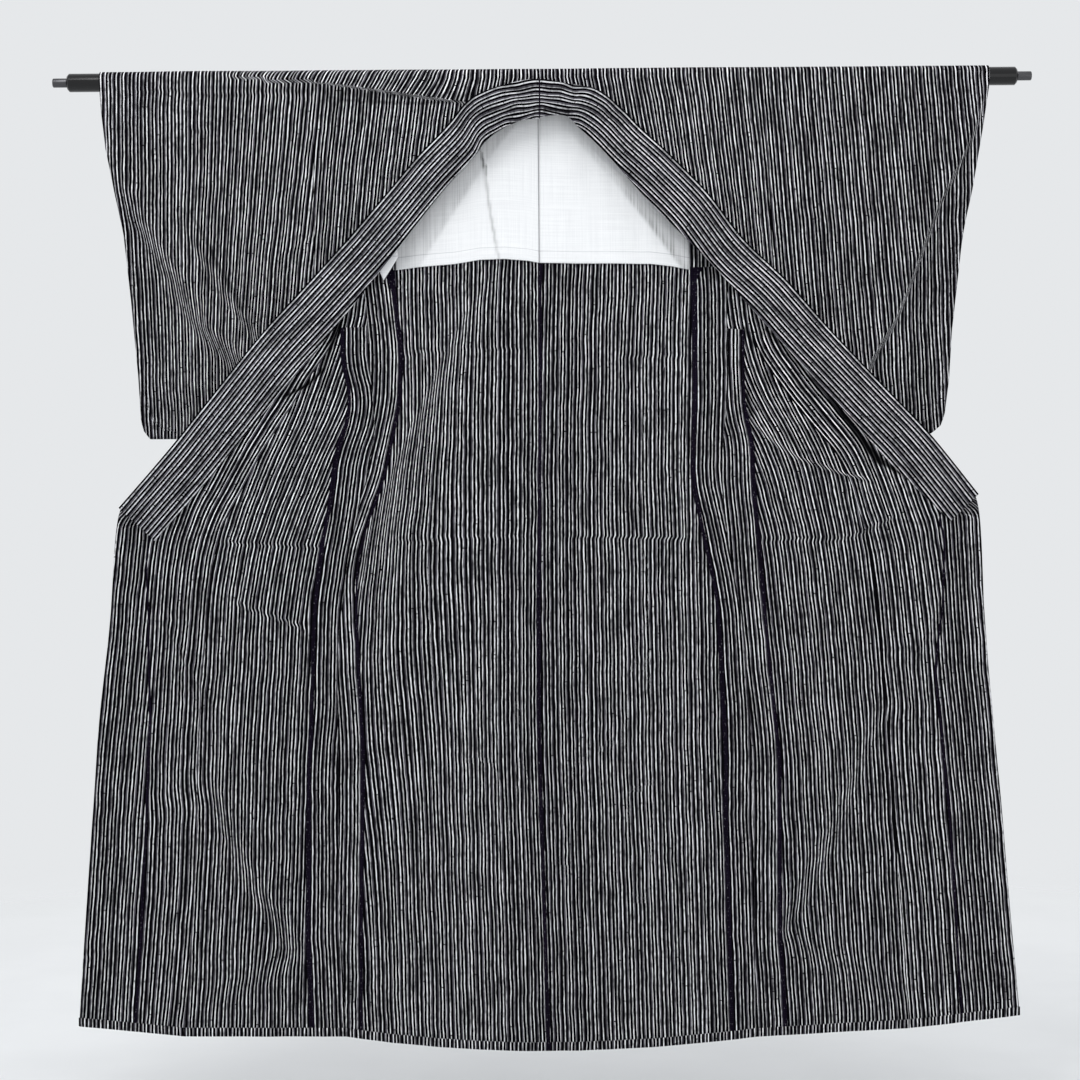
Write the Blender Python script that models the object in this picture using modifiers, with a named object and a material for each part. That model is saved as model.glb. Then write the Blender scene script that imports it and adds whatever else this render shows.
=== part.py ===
"""A striped kimono, hung open on its black rod.

The origin is the middle of the rod's axis, +X runs along the rod, +Z is up and the opened fronts
face -Y. Left and right are as seen from the front, so left lies at -X. Every cloth piece is a sheet
at its real place, given in millimetres by the tables below, with a wall round it.
"""

import math
from collections import namedtuple

import bpy
import bmesh
from mathutils import Vector

MM = 0.001
SEAM_GAP = 0.3
LYING_INSET = 1.0
SIDES = ("left", "right")

# Rod, in millimetres
ROD_RADIUS = 13.65
ROD_LENGTH = 1423.0
ROD_CHAMFER = 3.0
ROD_SIDES = 24
PIN_RADIUS = 6.75
PIN_LENGTH = 22.0
PIN_CHAMFER = 1.0

# Walls, in millimetres
CLOTH_WALL = 1.2
COLLAR_WALL = 3.0
LINING_WALL = 1.0
ALLOWANCE_WALL = 1.0
HANG_GAP = 0.5
HANG_RADIUS = ROD_RADIUS + HANG_GAP + CLOTH_WALL / 2
ARC_ROWS = 5

# Grid steps: across and along each sheet
BACK_STEPS = (12, 29)
FRONT_STEPS = (12, 16)
OKUMI_STEPS = (7, 16)
SHOULDER_STEPS = (12, 12)
SLEEVE_STEPS = 13
COLLAR_STEPS = (4, 28)
LINING_STEPS = (8, 6)
ALLOWANCE_COLUMNS = 2

# Centre back seam from the rod to the hem
CentreRow = namedtuple("CentreRow", "x z y")
CENTRE = [
    CentreRow(-4, 0, HANG_RADIUS),
    CentreRow(-4, -60, 14.2),
    CentreRow(-5, -120, 13.5),
    CentreRow(-5, -180, 12.5),
    CentreRow(-5, -240, 11),
    CentreRow(-5, -283, 10),
    CentreRow(-6, -320, 9),
    CentreRow(-6, -394, 8),
    CentreRow(-6, -461, 7),
    CentreRow(-7, -529, 6),
    CentreRow(-8, -590, 5),
    CentreRow(-9, -646, 4.5),
    CentreRow(-10, -704, 4),
    CentreRow(-11, -768, 3),
    CentreRow(-12, -851, 2),
    CentreRow(-12, -974, 1),
    CentreRow(-10, -1080, 0),
    CentreRow(-6, -1238, -2),
    CentreRow(-1, -1455, -5),
]

# Side edge of the back from the rod to the armhole's end
SideRow = namedtuple("SideRow", "x z y")
BACK_SIDE = {
    "left": [
        SideRow(-342, 0, HANG_RADIUS),
        SideRow(-342, -60, 14.2),
        SideRow(-342, -120, 13),
        SideRow(-342, -180, 11.5),
        SideRow(-342, -240, 9.5),
        SideRow(-342, -284, 4),
    ],
    "right": [
        SideRow(328, 0, HANG_RADIUS),
        SideRow(331.5, -60, 14.2),
        SideRow(335, -120, 13),
        SideRow(338.4, -180, 11.5),
        SideRow(342, -240, 9.5),
        SideRow(342, -282, 4),
    ],
}

# Weft lines of an opened front: side seam, overlap seam and outer edge, from the armpit to the hem
WeftRow = namedtuple("WeftRow", "side_x side_z side_y okumi_x okumi_z okumi_y edge_x edge_z edge_y")
FRONT = {
    "left": [
        WeftRow(-274, -313, -8, -290, -325, -12.5, -316, -323, -19),
        WeftRow(-263, -390, -8, -313, -389, -17, -336, -395, -25),
        WeftRow(-259, -457, -8, -352, -450, -20, -387, -454, -28),
        WeftRow(-255, -527, -8, -390, -509, -22, -437, -513, -28),
        WeftRow(-266, -590, -8, -425, -565, -22, -486, -568, -26.5),
        WeftRow(-280, -644, -8, -455, -619, -20.5, -540, -606, -24),
        WeftRow(-293, -701, -7, -482, -672, -20, -594, -628, -22.5),
        WeftRow(-302, -763, -7, -499, -739, -18, -634, -645, -22),
        WeftRow(-312, -853, -6, -510, -851, -16, -650, -805, -21),
        WeftRow(-313, -973, -5, -519, -978, -14, -667, -953, -20),
        WeftRow(-313, -1078, -5, -524, -1082, -13, -676, -1072, -20),
        WeftRow(-312, -1227, -5, -530, -1223, -13, -686, -1206, -21),
        WeftRow(-304, -1431, -6, -545, -1427, -14, -700, -1409, -23),
    ],
    "right": [
        WeftRow(281, -304, -8, 299, -318, -12.5, 330, -310, -19),
        WeftRow(275, -400, -8, 316, -402, -17, 360, -394, -25),
        WeftRow(275, -468, -8, 356, -468, -20, 405, -446, -28),
        WeftRow(268, -531, -8, 398, -522, -22, 453, -499, -28),
        WeftRow(265, -588, -8, 437, -572, -22, 501, -556, -26.5),
        WeftRow(267, -648, -8, 463, -635, -20.5, 553, -606, -24),
        WeftRow(276, -711, -7, 482, -702, -20, 602, -626, -22.5),
        WeftRow(287, -775, -7, 492, -769, -18, 643, -637, -22),
        WeftRow(297, -850, -6, 500, -859, -16, 654, -815, -21),
        WeftRow(305, -977, -5, 510, -985, -14, 666, -963, -20),
        WeftRow(308, -1082, -5, 516, -1090, -13, 676, -1082, -20),
        WeftRow(309, -1232, -5, 527, -1231, -13, 687, -1231, -21),
        WeftRow(309, -1436, -6, 538, -1423, -14, 701, -1403, -23),
    ],
}

# Armhole seam between sleeve and body, and the sleeve's inner edge below it
SeamRow = namedtuple("SeamRow", "z x")
ARMHOLE = {
    "left": [SeamRow(0, -342), SeamRow(-540, -342)],
    "right": [SeamRow(0, 328), SeamRow(-260, 343), SeamRow(-540, 343)],
}

# Cuff edge of each sleeve, down to its rounded corner
CUFF = {
    "left": [
        SeamRow(16, -663), SeamRow(-47, -659), SeamRow(-101, -653), SeamRow(-144, -643),
        SeamRow(-232, -629), SeamRow(-326, -619), SeamRow(-440, -609), SeamRow(-508, -605),
        SeamRow(-523, -601), SeamRow(-535, -592),
    ],
    "right": [
        SeamRow(16, 669), SeamRow(-15, 668), SeamRow(-76, 658), SeamRow(-175, 641),
        SeamRow(-247, 628), SeamRow(-380, 612), SeamRow(-454, 607), SeamRow(-506, 600),
        SeamRow(-523, 594), SeamRow(-535, 580),
    ],
}
SLEEVE_HEIGHTS = (0, -45, -90, -138, -184, -230, -280, -330, -380, -430, -475, -508, -524, -535)
CUFF_OPEN_ROWS = 5
SLEEVE_HALF_DEPTH = 9.5
SLEEVE_EDGE_HALF_DEPTH = 2.8
SLEEVE_PINCH = 90.0
ARMHOLE_DEPTH = 230.0

# Lower end of the shoulder part, where it turns back under the collar
SHOULDER_END = {
    "left": [
        SeamRow(-262, -342), SeamRow(-290, -318), SeamRow(-306, -290), SeamRow(-302, -267),
        SeamRow(-243, -209), SeamRow(-171, -156), SeamRow(-137, -117), SeamRow(-98, -90),
        SeamRow(-77, -63), SeamRow(-60, -21), SeamRow(-59, 0),
    ],
    "right": [
        SeamRow(-271, 346), SeamRow(-290, 318), SeamRow(-298, 295), SeamRow(-294, 276),
        SeamRow(-286, 265), SeamRow(-250, 224), SeamRow(-185, 158), SeamRow(-135, 116),
        SeamRow(-97, 82), SeamRow(-72, 54), SeamRow(-55, 34), SeamRow(-57, -6),
    ],
}
SHOULDER_Y = -15.0

# Collar: its free upper edge and its sewn lower edge, from the centre back to its end
CollarRow = namedtuple("CollarRow", "free_x free_z free_y sewn_x sewn_z sewn_y")
COLLAR = {
    "left": [
        CollarRow(-4, -3, -20, -4, -62, -17.5),
        CollarRow(-42, -8, -20.5, -31, -65, -17.5),
        CollarRow(-84, -20, -22, -63, -79, -17.5),
        CollarRow(-113, -37, -23, -86, -97, -17.6),
        CollarRow(-142, -72, -24, -103, -120, -17.7),
        CollarRow(-190, -122, -25, -144, -164, -18),
        CollarRow(-240, -181, -26, -192, -223, -18.5),
        CollarRow(-293, -243, -29, -244, -289, -20),
        CollarRow(-357, -313, -32, -307, -369, -27),
        CollarRow(-421, -383, -34, -368, -442, -31),
        CollarRow(-502, -482, -32, -446, -533, -30.5),
        CollarRow(-560, -553, -29, -504, -602, -28),
        CollarRow(-635, -638, -26, -581, -688, -26),
    ],
    "right": [
        CollarRow(-4, -3, -20, -4, -60, -17.5),
        CollarRow(41, -11, -20.5, 33, -58, -17.5),
        CollarRow(83, -20, -22, 54, -76, -17.5),
        CollarRow(118, -48, -23, 80, -100, -17.6),
        CollarRow(146, -77, -24, 107, -129, -17.7),
        CollarRow(192, -120, -25, 146, -174, -18),
        CollarRow(246, -176, -26, 196, -226, -18.5),
        CollarRow(300, -247, -29, 254, -285, -20),
        CollarRow(362, -308, -32, 308, -348, -27),
        CollarRow(428, -384, -34, 370, -419, -31),
        CollarRow(510, -471, -32, 452, -511, -30.5),
        CollarRow(573, -537, -29, 515, -582, -28),
        CollarRow(645, -627, -26, 603, -667, -26),
    ],
}
COLLAR_BULGE = 2.0
NEAR = 0.002

# Yoke lining: its hem and its side edges
LINING_HEM = -272.0
LINING_SIDE = {"left": -222.0, "right": 220.0}

# Turned-in edges: how far each reaches from its seam at a height
WidthRow = namedtuple("WidthRow", "z width")
BACK_ALLOWANCE = {
    "left": [
        WidthRow(-284, 112), WidthRow(-313, 56), WidthRow(-413, 51), WidthRow(-488, 42), WidthRow(-598, 29),
        WidthRow(-681, 19),
        WidthRow(-734, 17), WidthRow(-812, 25), WidthRow(-1019, 41), WidthRow(-1277, 32), WidthRow(-1421, 25),
    ],
    "right": [
        WidthRow(-282, 116), WidthRow(-304, 58), WidthRow(-472, 54), WidthRow(-602, 48), WidthRow(-783, 34),
        WidthRow(-1023, 42), WidthRow(-1252, 42), WidthRow(-1425, 40),
    ],
}
FRONT_ALLOWANCE = {
    "left": [
        WidthRow(-400, 36), WidthRow(-431, 43), WidthRow(-470, 34), WidthRow(-520, 42), WidthRow(-560, 52),
        WidthRow(-629, 47), WidthRow(-803, 43), WidthRow(-1017, 47), WidthRow(-1414, 54),
    ],
    "right": [
        WidthRow(-400, 24), WidthRow(-496, 28), WidthRow(-551, 46), WidthRow(-603, 49),
        WidthRow(-843, 37), WidthRow(-1022, 44), WidthRow(-1279, 39), WidthRow(-1420, 46),
    ],
}
EDGE_TURNING = {
    "left": [WidthRow(-700, 56), WidthRow(-825, 63), WidthRow(-940, 77), WidthRow(-1271, 87), WidthRow(-1405, 85)],
    "right": [WidthRow(-700, 70), WidthRow(-777, 69), WidthRow(-877, 82), WidthRow(-1123, 81), WidthRow(-1399, 88)],
}
MOST_REACH = 0.6
ALLOWANCE_TOP = {"back": 12, "front": 1, "okumi": 10}

# Largest folds: a ridge stands towards -Y, a trough has a negative height
Fold = namedtuple("Fold", "x0 z0 x1 z1 width height")
FOLDS = {
    "sleeve_left": [
        Fold(-650, -100, -530, -330, 16, 4.5),
        Fold(-530, -330, -430, -440, 18, 3.5),
        Fold(-556, -180, -425, -390, 20, 3.0),
        Fold(-610, -240, -560, -500, 26, -2.5),
        Fold(-470, -300, -380, -500, 24, 2.0),
    ],
    "sleeve_right": [
        Fold(664, -40, 600, -180, 18, 3.5),
        Fold(602, -175, 485, -440, 20, 4.5),
        Fold(560, -90, 470, -300, 24, 2.5),
        Fold(610, -260, 560, -500, 26, -2.5),
        Fold(450, -300, 390, -500, 24, 2.0),
    ],
    "shoulder_left": [
        Fold(-340, -14, -115, -44, 12, 1.2),
        Fold(-320, -60, -250, -200, 22, 1.4),
    ],
    "shoulder_right": [
        Fold(330, -20, 140, -52, 14, 1.0),
        Fold(310, -80, 240, -220, 22, 1.4),
    ],
    "front_left": [
        Fold(-290, -400, -370, -520, 18, 2.5),
        Fold(-275, -430, -320, -640, 16, 3.0),
        Fold(-400, -600, -360, -760, 24, 4.0),
        Fold(-571, -797, -480, -969, 20, 5.0),
        Fold(-640, -760, -600, -1100, 30, -4.0),
        Fold(-440, -900, -420, -1400, 34, 5.0),
        Fold(-350, -820, -340, -1400, 22, -3.0),
        Fold(-600, -1100, -610, -1420, 26, 5.0),
        Fold(-500, -1050, -490, -1420, 26, -4.5),
    ],
    "front_right": [
        Fold(284, -470, 357, -590, 16, 3.0),
        Fold(357, -590, 440, -600, 16, 2.5),
        Fold(345, -388, 413, -475, 12, -2.5),
        Fold(330, -640, 400, -780, 24, 3.5),
        Fold(625, -700, 545, -890, 20, 5.0),
        Fold(470, -1040, 419, -1170, 20, 4.5),
        Fold(600, -960, 610, -1390, 32, 5.0),
        Fold(380, -900, 390, -1410, 30, 4.5),
        Fold(450, -1180, 460, -1410, 24, -4.5),
        Fold(640, -820, 660, -1100, 24, -4.0),
    ],
    "back_left": [
        Fold(-230, -420, -190, -760, 26, 3.0),
        Fold(-120, -420, -100, -1000, 40, -2.5),
        Fold(-210, -900, -220, -1430, 30, 4.0),
        Fold(-90, -980, -80, -1440, 32, 3.5),
        Fold(-150, -1000, -150, -1440, 24, -3.0),
    ],
    "back_right": [
        Fold(210, -420, 150, -740, 26, 3.0),
        Fold(90, -420, 100, -1000, 40, -2.5),
        Fold(205, -900, 215, -1430, 30, 4.0),
        Fold(80, -980, 70, -1440, 32, 3.5),
        Fold(140, -1000, 145, -1440, 24, -3.0),
    ],
}


def smooth(value):
    """A soft step from 0 to 1."""
    value = min(max(value, 0.0), 1.0)
    return value * value * (3 - 2 * value)


def along(rows, place):
    """The row at a fractional place in a table, on a smooth curve through its rows."""
    last = len(rows) - 1
    place = min(max(place, 0.0), last)
    start = min(int(place), last - 1)
    t = place - start
    before = rows[max(start - 1, 0)]
    after = rows[min(start + 2, last)]
    values = []
    for a, b, c, d in zip(before, rows[start], rows[start + 1], after):
        values.append(b + 0.5 * t * (c - a + t * (2 * a - 5 * b + 4 * c - d + t * (3 * (b - c) + d - a))))
    return type(rows[0])(*values)


def at_height(rows, z):
    """The second column of a table at a height, straight between its rows."""
    if z >= rows[0].z:
        return rows[0][1]
    for upper, lower in zip(rows, rows[1:]):
        if z >= lower.z:
            share = (upper.z - z) / (upper.z - lower.z)
            return upper[1] + (lower[1] - upper[1]) * share
    return rows[-1][1]


def at_distance(rows, x):
    """The height of a lower end at a place along the rod, straight between its rows."""
    for outer, inner in zip(rows, rows[1:]):
        if min(outer.x, inner.x) <= x <= max(outer.x, inner.x):
            share = (outer.x - x) / (outer.x - inner.x)
            return outer.z + (inner.z - outer.z) * share
    return rows[0].z if abs(x) > abs(rows[0].x) else rows[-1].z


def folds(sheet, x, z):
    """How far the folds of a sheet push it towards -Y."""
    push = 0.0
    for fold in FOLDS[sheet]:
        run_x = fold.x1 - fold.x0
        run_z = fold.z1 - fold.z0
        length = math.hypot(run_x, run_z)
        share = ((x - fold.x0) * run_x + (z - fold.z0) * run_z) / length ** 2
        if not 0 < share < 1:
            continue
        off = ((x - fold.x0) * run_z - (z - fold.z0) * run_x) / length
        fade = smooth(share / 0.3) * smooth((1 - share) / 0.3)
        push += fold.height * fade * math.exp(-(off / fold.width) ** 2)
    return push


def edge_fade(u):
    """Folds die out at a sheet's seams, so that neighbours meet."""
    return smooth(u / 0.15) * smooth((1 - u) / 0.15)


def back_point(side, u, row):
    """A point of the back: u runs from its side edge to the centre seam, row down its table."""
    rows = BACK_SIDE[side] + [SideRow(r.side_x, r.side_z, r.side_y) for r in FRONT[side]]
    edge = along(rows, row)
    centre = along(CENTRE, row)
    seam = at_height(ARMHOLE[side], edge.z)
    edge_x = edge.x if abs(edge.x) < abs(seam) else seam
    x = edge_x + (centre.x - edge_x) * u
    z = centre.z + (edge.z - centre.z) * (1 - u) ** 2
    y = centre.y + (edge.y - centre.y) * (1 - u) ** 2
    return Vector((x, y - edge_fade(u) * folds("back_" + side, x, z), z))


def over_rod(x, share, facing):
    """A point on the quarter turn over the rod, from its top to its level."""
    angle = share * math.pi / 2
    return Vector((x, facing * HANG_RADIUS * math.sin(angle), HANG_RADIUS * math.cos(angle)))


def column_place(u, columns, reach):
    """Where a sheet's column lies, when its first columns lie under its turned-in edge."""
    column = u * columns
    if column <= ALLOWANCE_COLUMNS:
        return reach * column / ALLOWANCE_COLUMNS
    return reach + (1 - reach) * (column - ALLOWANCE_COLUMNS) / (columns - ALLOWANCE_COLUMNS)


def back_sheet(side, u, v):
    """The back from the top of the rod to the hem."""
    steps = v * BACK_STEPS[1]
    row = max(steps - ARC_ROWS, 0) / (BACK_STEPS[1] - ARC_ROWS) * (len(CENTRE) - 1)
    edge = back_point(side, 0, row)
    reach = at_height(BACK_ALLOWANCE[side], edge.z) / abs(back_point(side, 1, row).x - edge.x)
    u = column_place(u, BACK_STEPS[0], reach)
    if steps < ARC_ROWS:
        return over_rod(back_point(side, u, 0).x, steps / ARC_ROWS, 1)
    return back_point(side, u, row)


def front_row(side, row):
    """One weft line of an opened front as three points: side seam, overlap seam and edge."""
    weft = along(FRONT[side], row)
    return (
        Vector((weft.side_x, weft.side_y, weft.side_z)),
        Vector((weft.okumi_x, weft.okumi_y, weft.okumi_z)),
        Vector((weft.edge_x, weft.edge_y, weft.edge_z)),
    )


def pushed(side, point, fade):
    """A front's point with its folds."""
    return point - Vector((0, fade * folds("front_" + side, point.x, point.z), 0))


def front_point(side, u, row):
    """A point of the front: u runs from the side seam to the overlap seam."""
    seam, okumi, _ = front_row(side, row)
    return pushed(side, seam.lerp(okumi, u), smooth(u / 0.2))


def okumi_point(side, u, row):
    """A point of the overlap panel: u runs from its seam to its outer edge."""
    _, okumi, edge = front_row(side, row)
    return pushed(side, okumi.lerp(edge, u), 1 - smooth((row - 6) / -2) * smooth(u))


def front_sheet(side, u, v):
    """The opened front, from the side seam to the overlap seam."""
    row = v * (len(FRONT[side]) - 1)
    seam, okumi, _ = front_row(side, row)
    reach = min(at_height(FRONT_ALLOWANCE[side], seam.z) / (okumi - seam).length, MOST_REACH)
    return front_point(side, column_place(u, FRONT_STEPS[0], reach), row)


def okumi_sheet(side, u, v):
    """The overlap panel, from its seam to its outer edge."""
    row = v * (len(FRONT[side]) - 1)
    _, okumi, edge = front_row(side, row)
    reach = min(at_height(EDGE_TURNING[side], edge.z) / (edge - okumi).length, MOST_REACH)
    return okumi_point(side, 1 - column_place(1 - u, OKUMI_STEPS[0], reach), row)


def shoulder_sheet(side, u, v):
    """The shoulder part, from the top of the rod to where it turns back under the collar."""
    outer = ARMHOLE[side][0].x
    x = outer + (CENTRE[0].x - outer) * u
    steps = v * SHOULDER_STEPS[1]
    if steps < ARC_ROWS:
        return over_rod(x, steps / ARC_ROWS, -1)
    share = (steps - ARC_ROWS) / (SHOULDER_STEPS[1] - ARC_ROWS)
    z = share * at_distance(SHOULDER_END[side], x)
    x += (at_height(ARMHOLE[side], z) - outer) * (1 - u)
    y = -HANG_RADIUS + (SHOULDER_Y + HANG_RADIUS) * smooth(share * 3)
    return Vector((x, y - folds("shoulder_" + side, x, z) * smooth(u * 6), z))


def sleeve_half_depth(side, x, z):
    """Half the space between a sleeve's front and back, which close at the sewn edges."""
    full = HANG_RADIUS + (SLEEVE_HALF_DEPTH - HANG_RADIUS) * smooth((-z - 160) / 240)
    from_cuff = abs(at_height(CUFF[side], z) - x)
    sewn = smooth((-z - ARMHOLE_DEPTH + 70) / 70)
    at_cuff = 1 - sewn * (1 - smooth(from_cuff / SLEEVE_PINCH))
    at_bottom = smooth((z - SLEEVE_HEIGHTS[-1]) / SLEEVE_PINCH)
    return SLEEVE_EDGE_HALF_DEPTH + (full - SLEEVE_EDGE_HALF_DEPTH) * at_cuff * at_bottom


def sleeve_point(side, u, station):
    """A point of the sleeve: u runs from the armhole to the cuff, station round its section."""
    rows = len(SLEEVE_HEIGHTS) - 1
    arc_steps = 2 * ARC_ROWS
    over = station - rows
    if 0 < over < arc_steps:
        angle = math.pi * over / arc_steps
        y = -HANG_RADIUS * math.cos(angle)
        z = HANG_RADIUS * math.sin(angle)
    else:
        front = over <= 0
        row = rows - station if front else station - rows - arc_steps
        z = SLEEVE_HEIGHTS[row]
    inner = at_height(ARMHOLE[side], z)
    x = inner + (at_height(CUFF[side], z) - inner) * u
    if not 0 < over < arc_steps:
        half = sleeve_half_depth(side, x, z)
        middle = 1.5 * smooth(-z / 300)
        push = folds("sleeve_" + side, x, z) * smooth((half - SLEEVE_EDGE_HALF_DEPTH) / 5) * smooth(u / 0.15)
        y = middle - half - push if front else middle + half - 0.5 * push
    return Vector((x, y, z))


def collar_sheet(side, u, v):
    """The collar: u runs from its free edge to its sewn edge, v from the centre back to its end."""
    row = along(COLLAR[side], v * (len(COLLAR[side]) - 1))
    free = Vector((row.free_x, row.free_y, row.free_z))
    sewn = Vector((row.sewn_x, row.sewn_y, row.sewn_z))
    return free.lerp(sewn, u) - Vector((0, COLLAR_BULGE * math.sin(math.pi * u), 0))


def raised(sheet, side, u, v, lower_wall, own_wall):
    """A point of a piece that lies on a sheet's front: the sheet's own point, moved out."""
    near_u = u + NEAR if u < 0.5 else u - NEAR
    near_v = v + NEAR if v < 0.5 else v - NEAR
    point = sheet(side, u, v)
    out = (sheet(side, near_u, v) - point).cross(sheet(side, u, near_v) - point).normalized()
    if out.y > 0:
        out = -out
    return point + out * (lower_wall / 2 + SEAM_GAP + own_wall / 2)


def row_at_height(z):
    """The back's fractional row at a height of its centre seam."""
    for row in range(len(CENTRE) - 1):
        if z >= CENTRE[row + 1].z:
            return row + (CENTRE[row].z - z) / (CENTRE[row].z - CENTRE[row + 1].z)
    return len(CENTRE) - 1


def yoke_back(side, u, v):
    """The part of the back that the lining covers, from the lining's side edge to the centre."""
    row_step = (len(CENTRE) - 1) / (BACK_STEPS[1] - ARC_ROWS)
    whole_steps = LINING_STEPS[1] - 1
    place = v * LINING_STEPS[1]
    hem_step = row_at_height(LINING_HEM) / row_step
    step = 1 + min(place, whole_steps) + max(place - whole_steps, 0) * (hem_step - LINING_STEPS[1])
    edge = back_point(side, 0, step * row_step)
    centre = back_point(side, 1, step * row_step)
    start = (LINING_SIDE[side] - edge.x) / (centre.x - edge.x)
    share = start + (1 - start) * u
    upper = back_point(side, share, int(step) * row_step)
    lower = back_point(side, share, (int(step) + 1) * row_step)
    return upper.lerp(lower, step % 1)


def lining_sheet(side, u, v):
    return raised(yoke_back, side, u, v, CLOTH_WALL, LINING_WALL)


def allowance_steps(steps, panel):
    """A turned-in edge has its panel's own first columns and lower rows."""
    return ALLOWANCE_COLUMNS, steps[1] - ALLOWANCE_TOP[panel]


def lower_part(v, steps, panel):
    """A turned-in edge's place along its panel."""
    first = ALLOWANCE_TOP[panel] / steps[1]
    return first + (1 - first) * v


def back_allowance_sheet(side, u, v):
    u *= ALLOWANCE_COLUMNS / BACK_STEPS[0]
    v = lower_part(v, BACK_STEPS, "back")
    return raised(back_sheet, side, u, v, CLOTH_WALL, ALLOWANCE_WALL)


def front_allowance_sheet(side, u, v):
    u *= ALLOWANCE_COLUMNS / FRONT_STEPS[0]
    v = lower_part(v, FRONT_STEPS, "front")
    return raised(front_sheet, side, u, v, CLOTH_WALL, ALLOWANCE_WALL)


def edge_turning_sheet(side, u, v):
    u = 1 - u * ALLOWANCE_COLUMNS / OKUMI_STEPS[0]
    v = lower_part(v, OKUMI_STEPS, "okumi")
    return raised(okumi_sheet, side, u, v, CLOTH_WALL, ALLOWANCE_WALL)


def material(name, color, roughness, metallic=0.0):
    """A plain finish for one piece."""
    finish = bpy.data.materials.new(name)
    finish.use_nodes = True
    shader = finish.node_tree.nodes["Principled BSDF"]
    shader.inputs["Base Color"].default_value = (*color, 1)
    shader.inputs["Roughness"].default_value = roughness
    shader.inputs["Metallic"].default_value = metallic
    return finish


STRIPED = ((0.08, 0.075, 0.09), 0.85)
WHITE_COTTON = ((0.86, 0.86, 0.85), 0.9)
DARK_SELVAGE = ((0.02, 0.015, 0.025), 0.85)
BLACK_LACQUER = ((0.01, 0.01, 0.011), 0.15)
STEEL = ((0.45, 0.45, 0.46), 0.35)


def wrap_sheet(name, bm, wall, finish):
    """An object for a sheet, with a wall round it."""
    bmesh.ops.triangulate(bm, faces=bm.faces, quad_method="SHORT_EDGE")
    bmesh.ops.scale(bm, vec=Vector((MM, MM, MM)), verts=bm.verts)
    mesh = bpy.data.meshes.new(name)
    bm.to_mesh(mesh)
    bm.free()
    mesh.shade_smooth()
    piece = bpy.data.objects.new(name, mesh)
    bpy.data.collections["kimono"].objects.link(piece)
    color, roughness = finish
    mesh.materials.append(material(name, color, roughness))
    solidify = piece.modifiers.new("wall", "SOLIDIFY")
    solidify.thickness = wall * MM
    solidify.offset = 0
    solidify.use_even_offset = True
    return piece


def grid(across, along_it):
    """A flat unit grid and its vertices by column and row."""
    bm = bmesh.new()
    bmesh.ops.create_grid(bm, x_segments=across, y_segments=along_it, size=0.5)
    table = {}
    for vert in bm.verts:
        column = round((vert.co.x + 0.5) * across)
        row = round((vert.co.y + 0.5) * along_it)
        table[column, row] = vert
    return bm, table


def draw_in(vert, neighbour, inset):
    """Move an edge point inwards."""
    inward = (neighbour.co - vert.co).normalized()
    vert.co += inward * inset


def add_sheet(name, steps, place, wall, finish, inset):
    """One cloth piece from its sheet function, drawn in a little round its edge."""
    across, along_it = steps
    bm, table = grid(across, along_it)
    for (column, row), vert in table.items():
        vert.co = place(column / across, row / along_it)
    for row in range(along_it + 1):
        draw_in(table[0, row], table[1, row], inset)
        draw_in(table[across, row], table[across - 1, row], inset)
    for column in range(across + 1):
        draw_in(table[column, 0], table[column, 1], inset)
        draw_in(table[column, along_it], table[column, along_it - 1], inset)
    return wrap_sheet(name, bm, wall, finish)


def add_sleeve(side):
    """A sleeve: a loop of cloth over the rod, sewn along its bottom and the lower cuff edge."""
    rows = len(SLEEVE_HEIGHTS) - 1
    stations = 2 * rows + 2 * ARC_ROWS
    bm, table = grid(SLEEVE_STEPS, stations)
    for (column, station), vert in table.items():
        vert.co = sleeve_point(side, column / SLEEVE_STEPS, station)
    for station in range(stations + 1):
        draw_in(table[0, station], table[1, station], SEAM_GAP / 2)
    for column in range(SLEEVE_STEPS):
        bm.faces.new((table[column, 0], table[column, stations],
                      table[column + 1, stations], table[column + 1, 0]))
    for low in range(rows - CUFF_OPEN_ROWS):
        bm.faces.new((table[SLEEVE_STEPS, low], table[SLEEVE_STEPS, stations - low],
                      table[SLEEVE_STEPS, stations - low - 1], table[SLEEVE_STEPS, low + 1]))
    bmesh.ops.recalc_face_normals(bm, faces=bm.faces)
    return wrap_sheet("sleeve_" + side, bm, CLOTH_WALL, STRIPED)


def add_round_bar(name, radius, length, middle, chamfer, color, roughness, metallic=0.0):
    """A round bar along X with chamfered ends."""
    bpy.ops.mesh.primitive_cylinder_add(
        vertices=ROD_SIDES, radius=radius * MM, depth=length * MM,
        location=(middle * MM, 0, 0), rotation=(0, math.pi / 2, 0))
    bar = bpy.context.object
    bar.name = name
    bar.data.name = name
    bar.data.shade_smooth()
    bar.data.set_sharp_from_angle(angle=math.radians(30))
    bar.data.materials.append(material(name, color, roughness, metallic))
    bevel = bar.modifiers.new("chamfer", "BEVEL")
    bevel.width = chamfer * MM
    bevel.segments = 1
    bevel.limit_method = "ANGLE"
    bevel.angle_limit = math.radians(60)
    for collection in list(bar.users_collection):
        collection.objects.unlink(bar)
    bpy.data.collections["kimono"].objects.link(bar)
    return bar


def add_rod():
    """The rod and the pins in its ends."""
    color, roughness = BLACK_LACQUER
    add_round_bar("rod", ROD_RADIUS, ROD_LENGTH, 0, ROD_CHAMFER, color, roughness)
    color, roughness = STEEL
    reach = ROD_LENGTH / 2 + SEAM_GAP + PIN_LENGTH / 2
    for side, sign in zip(SIDES, (-1, 1)):
        add_round_bar("rod_pin_" + side, PIN_RADIUS, PIN_LENGTH, sign * reach, PIN_CHAMFER, color, roughness, 1.0)


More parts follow.
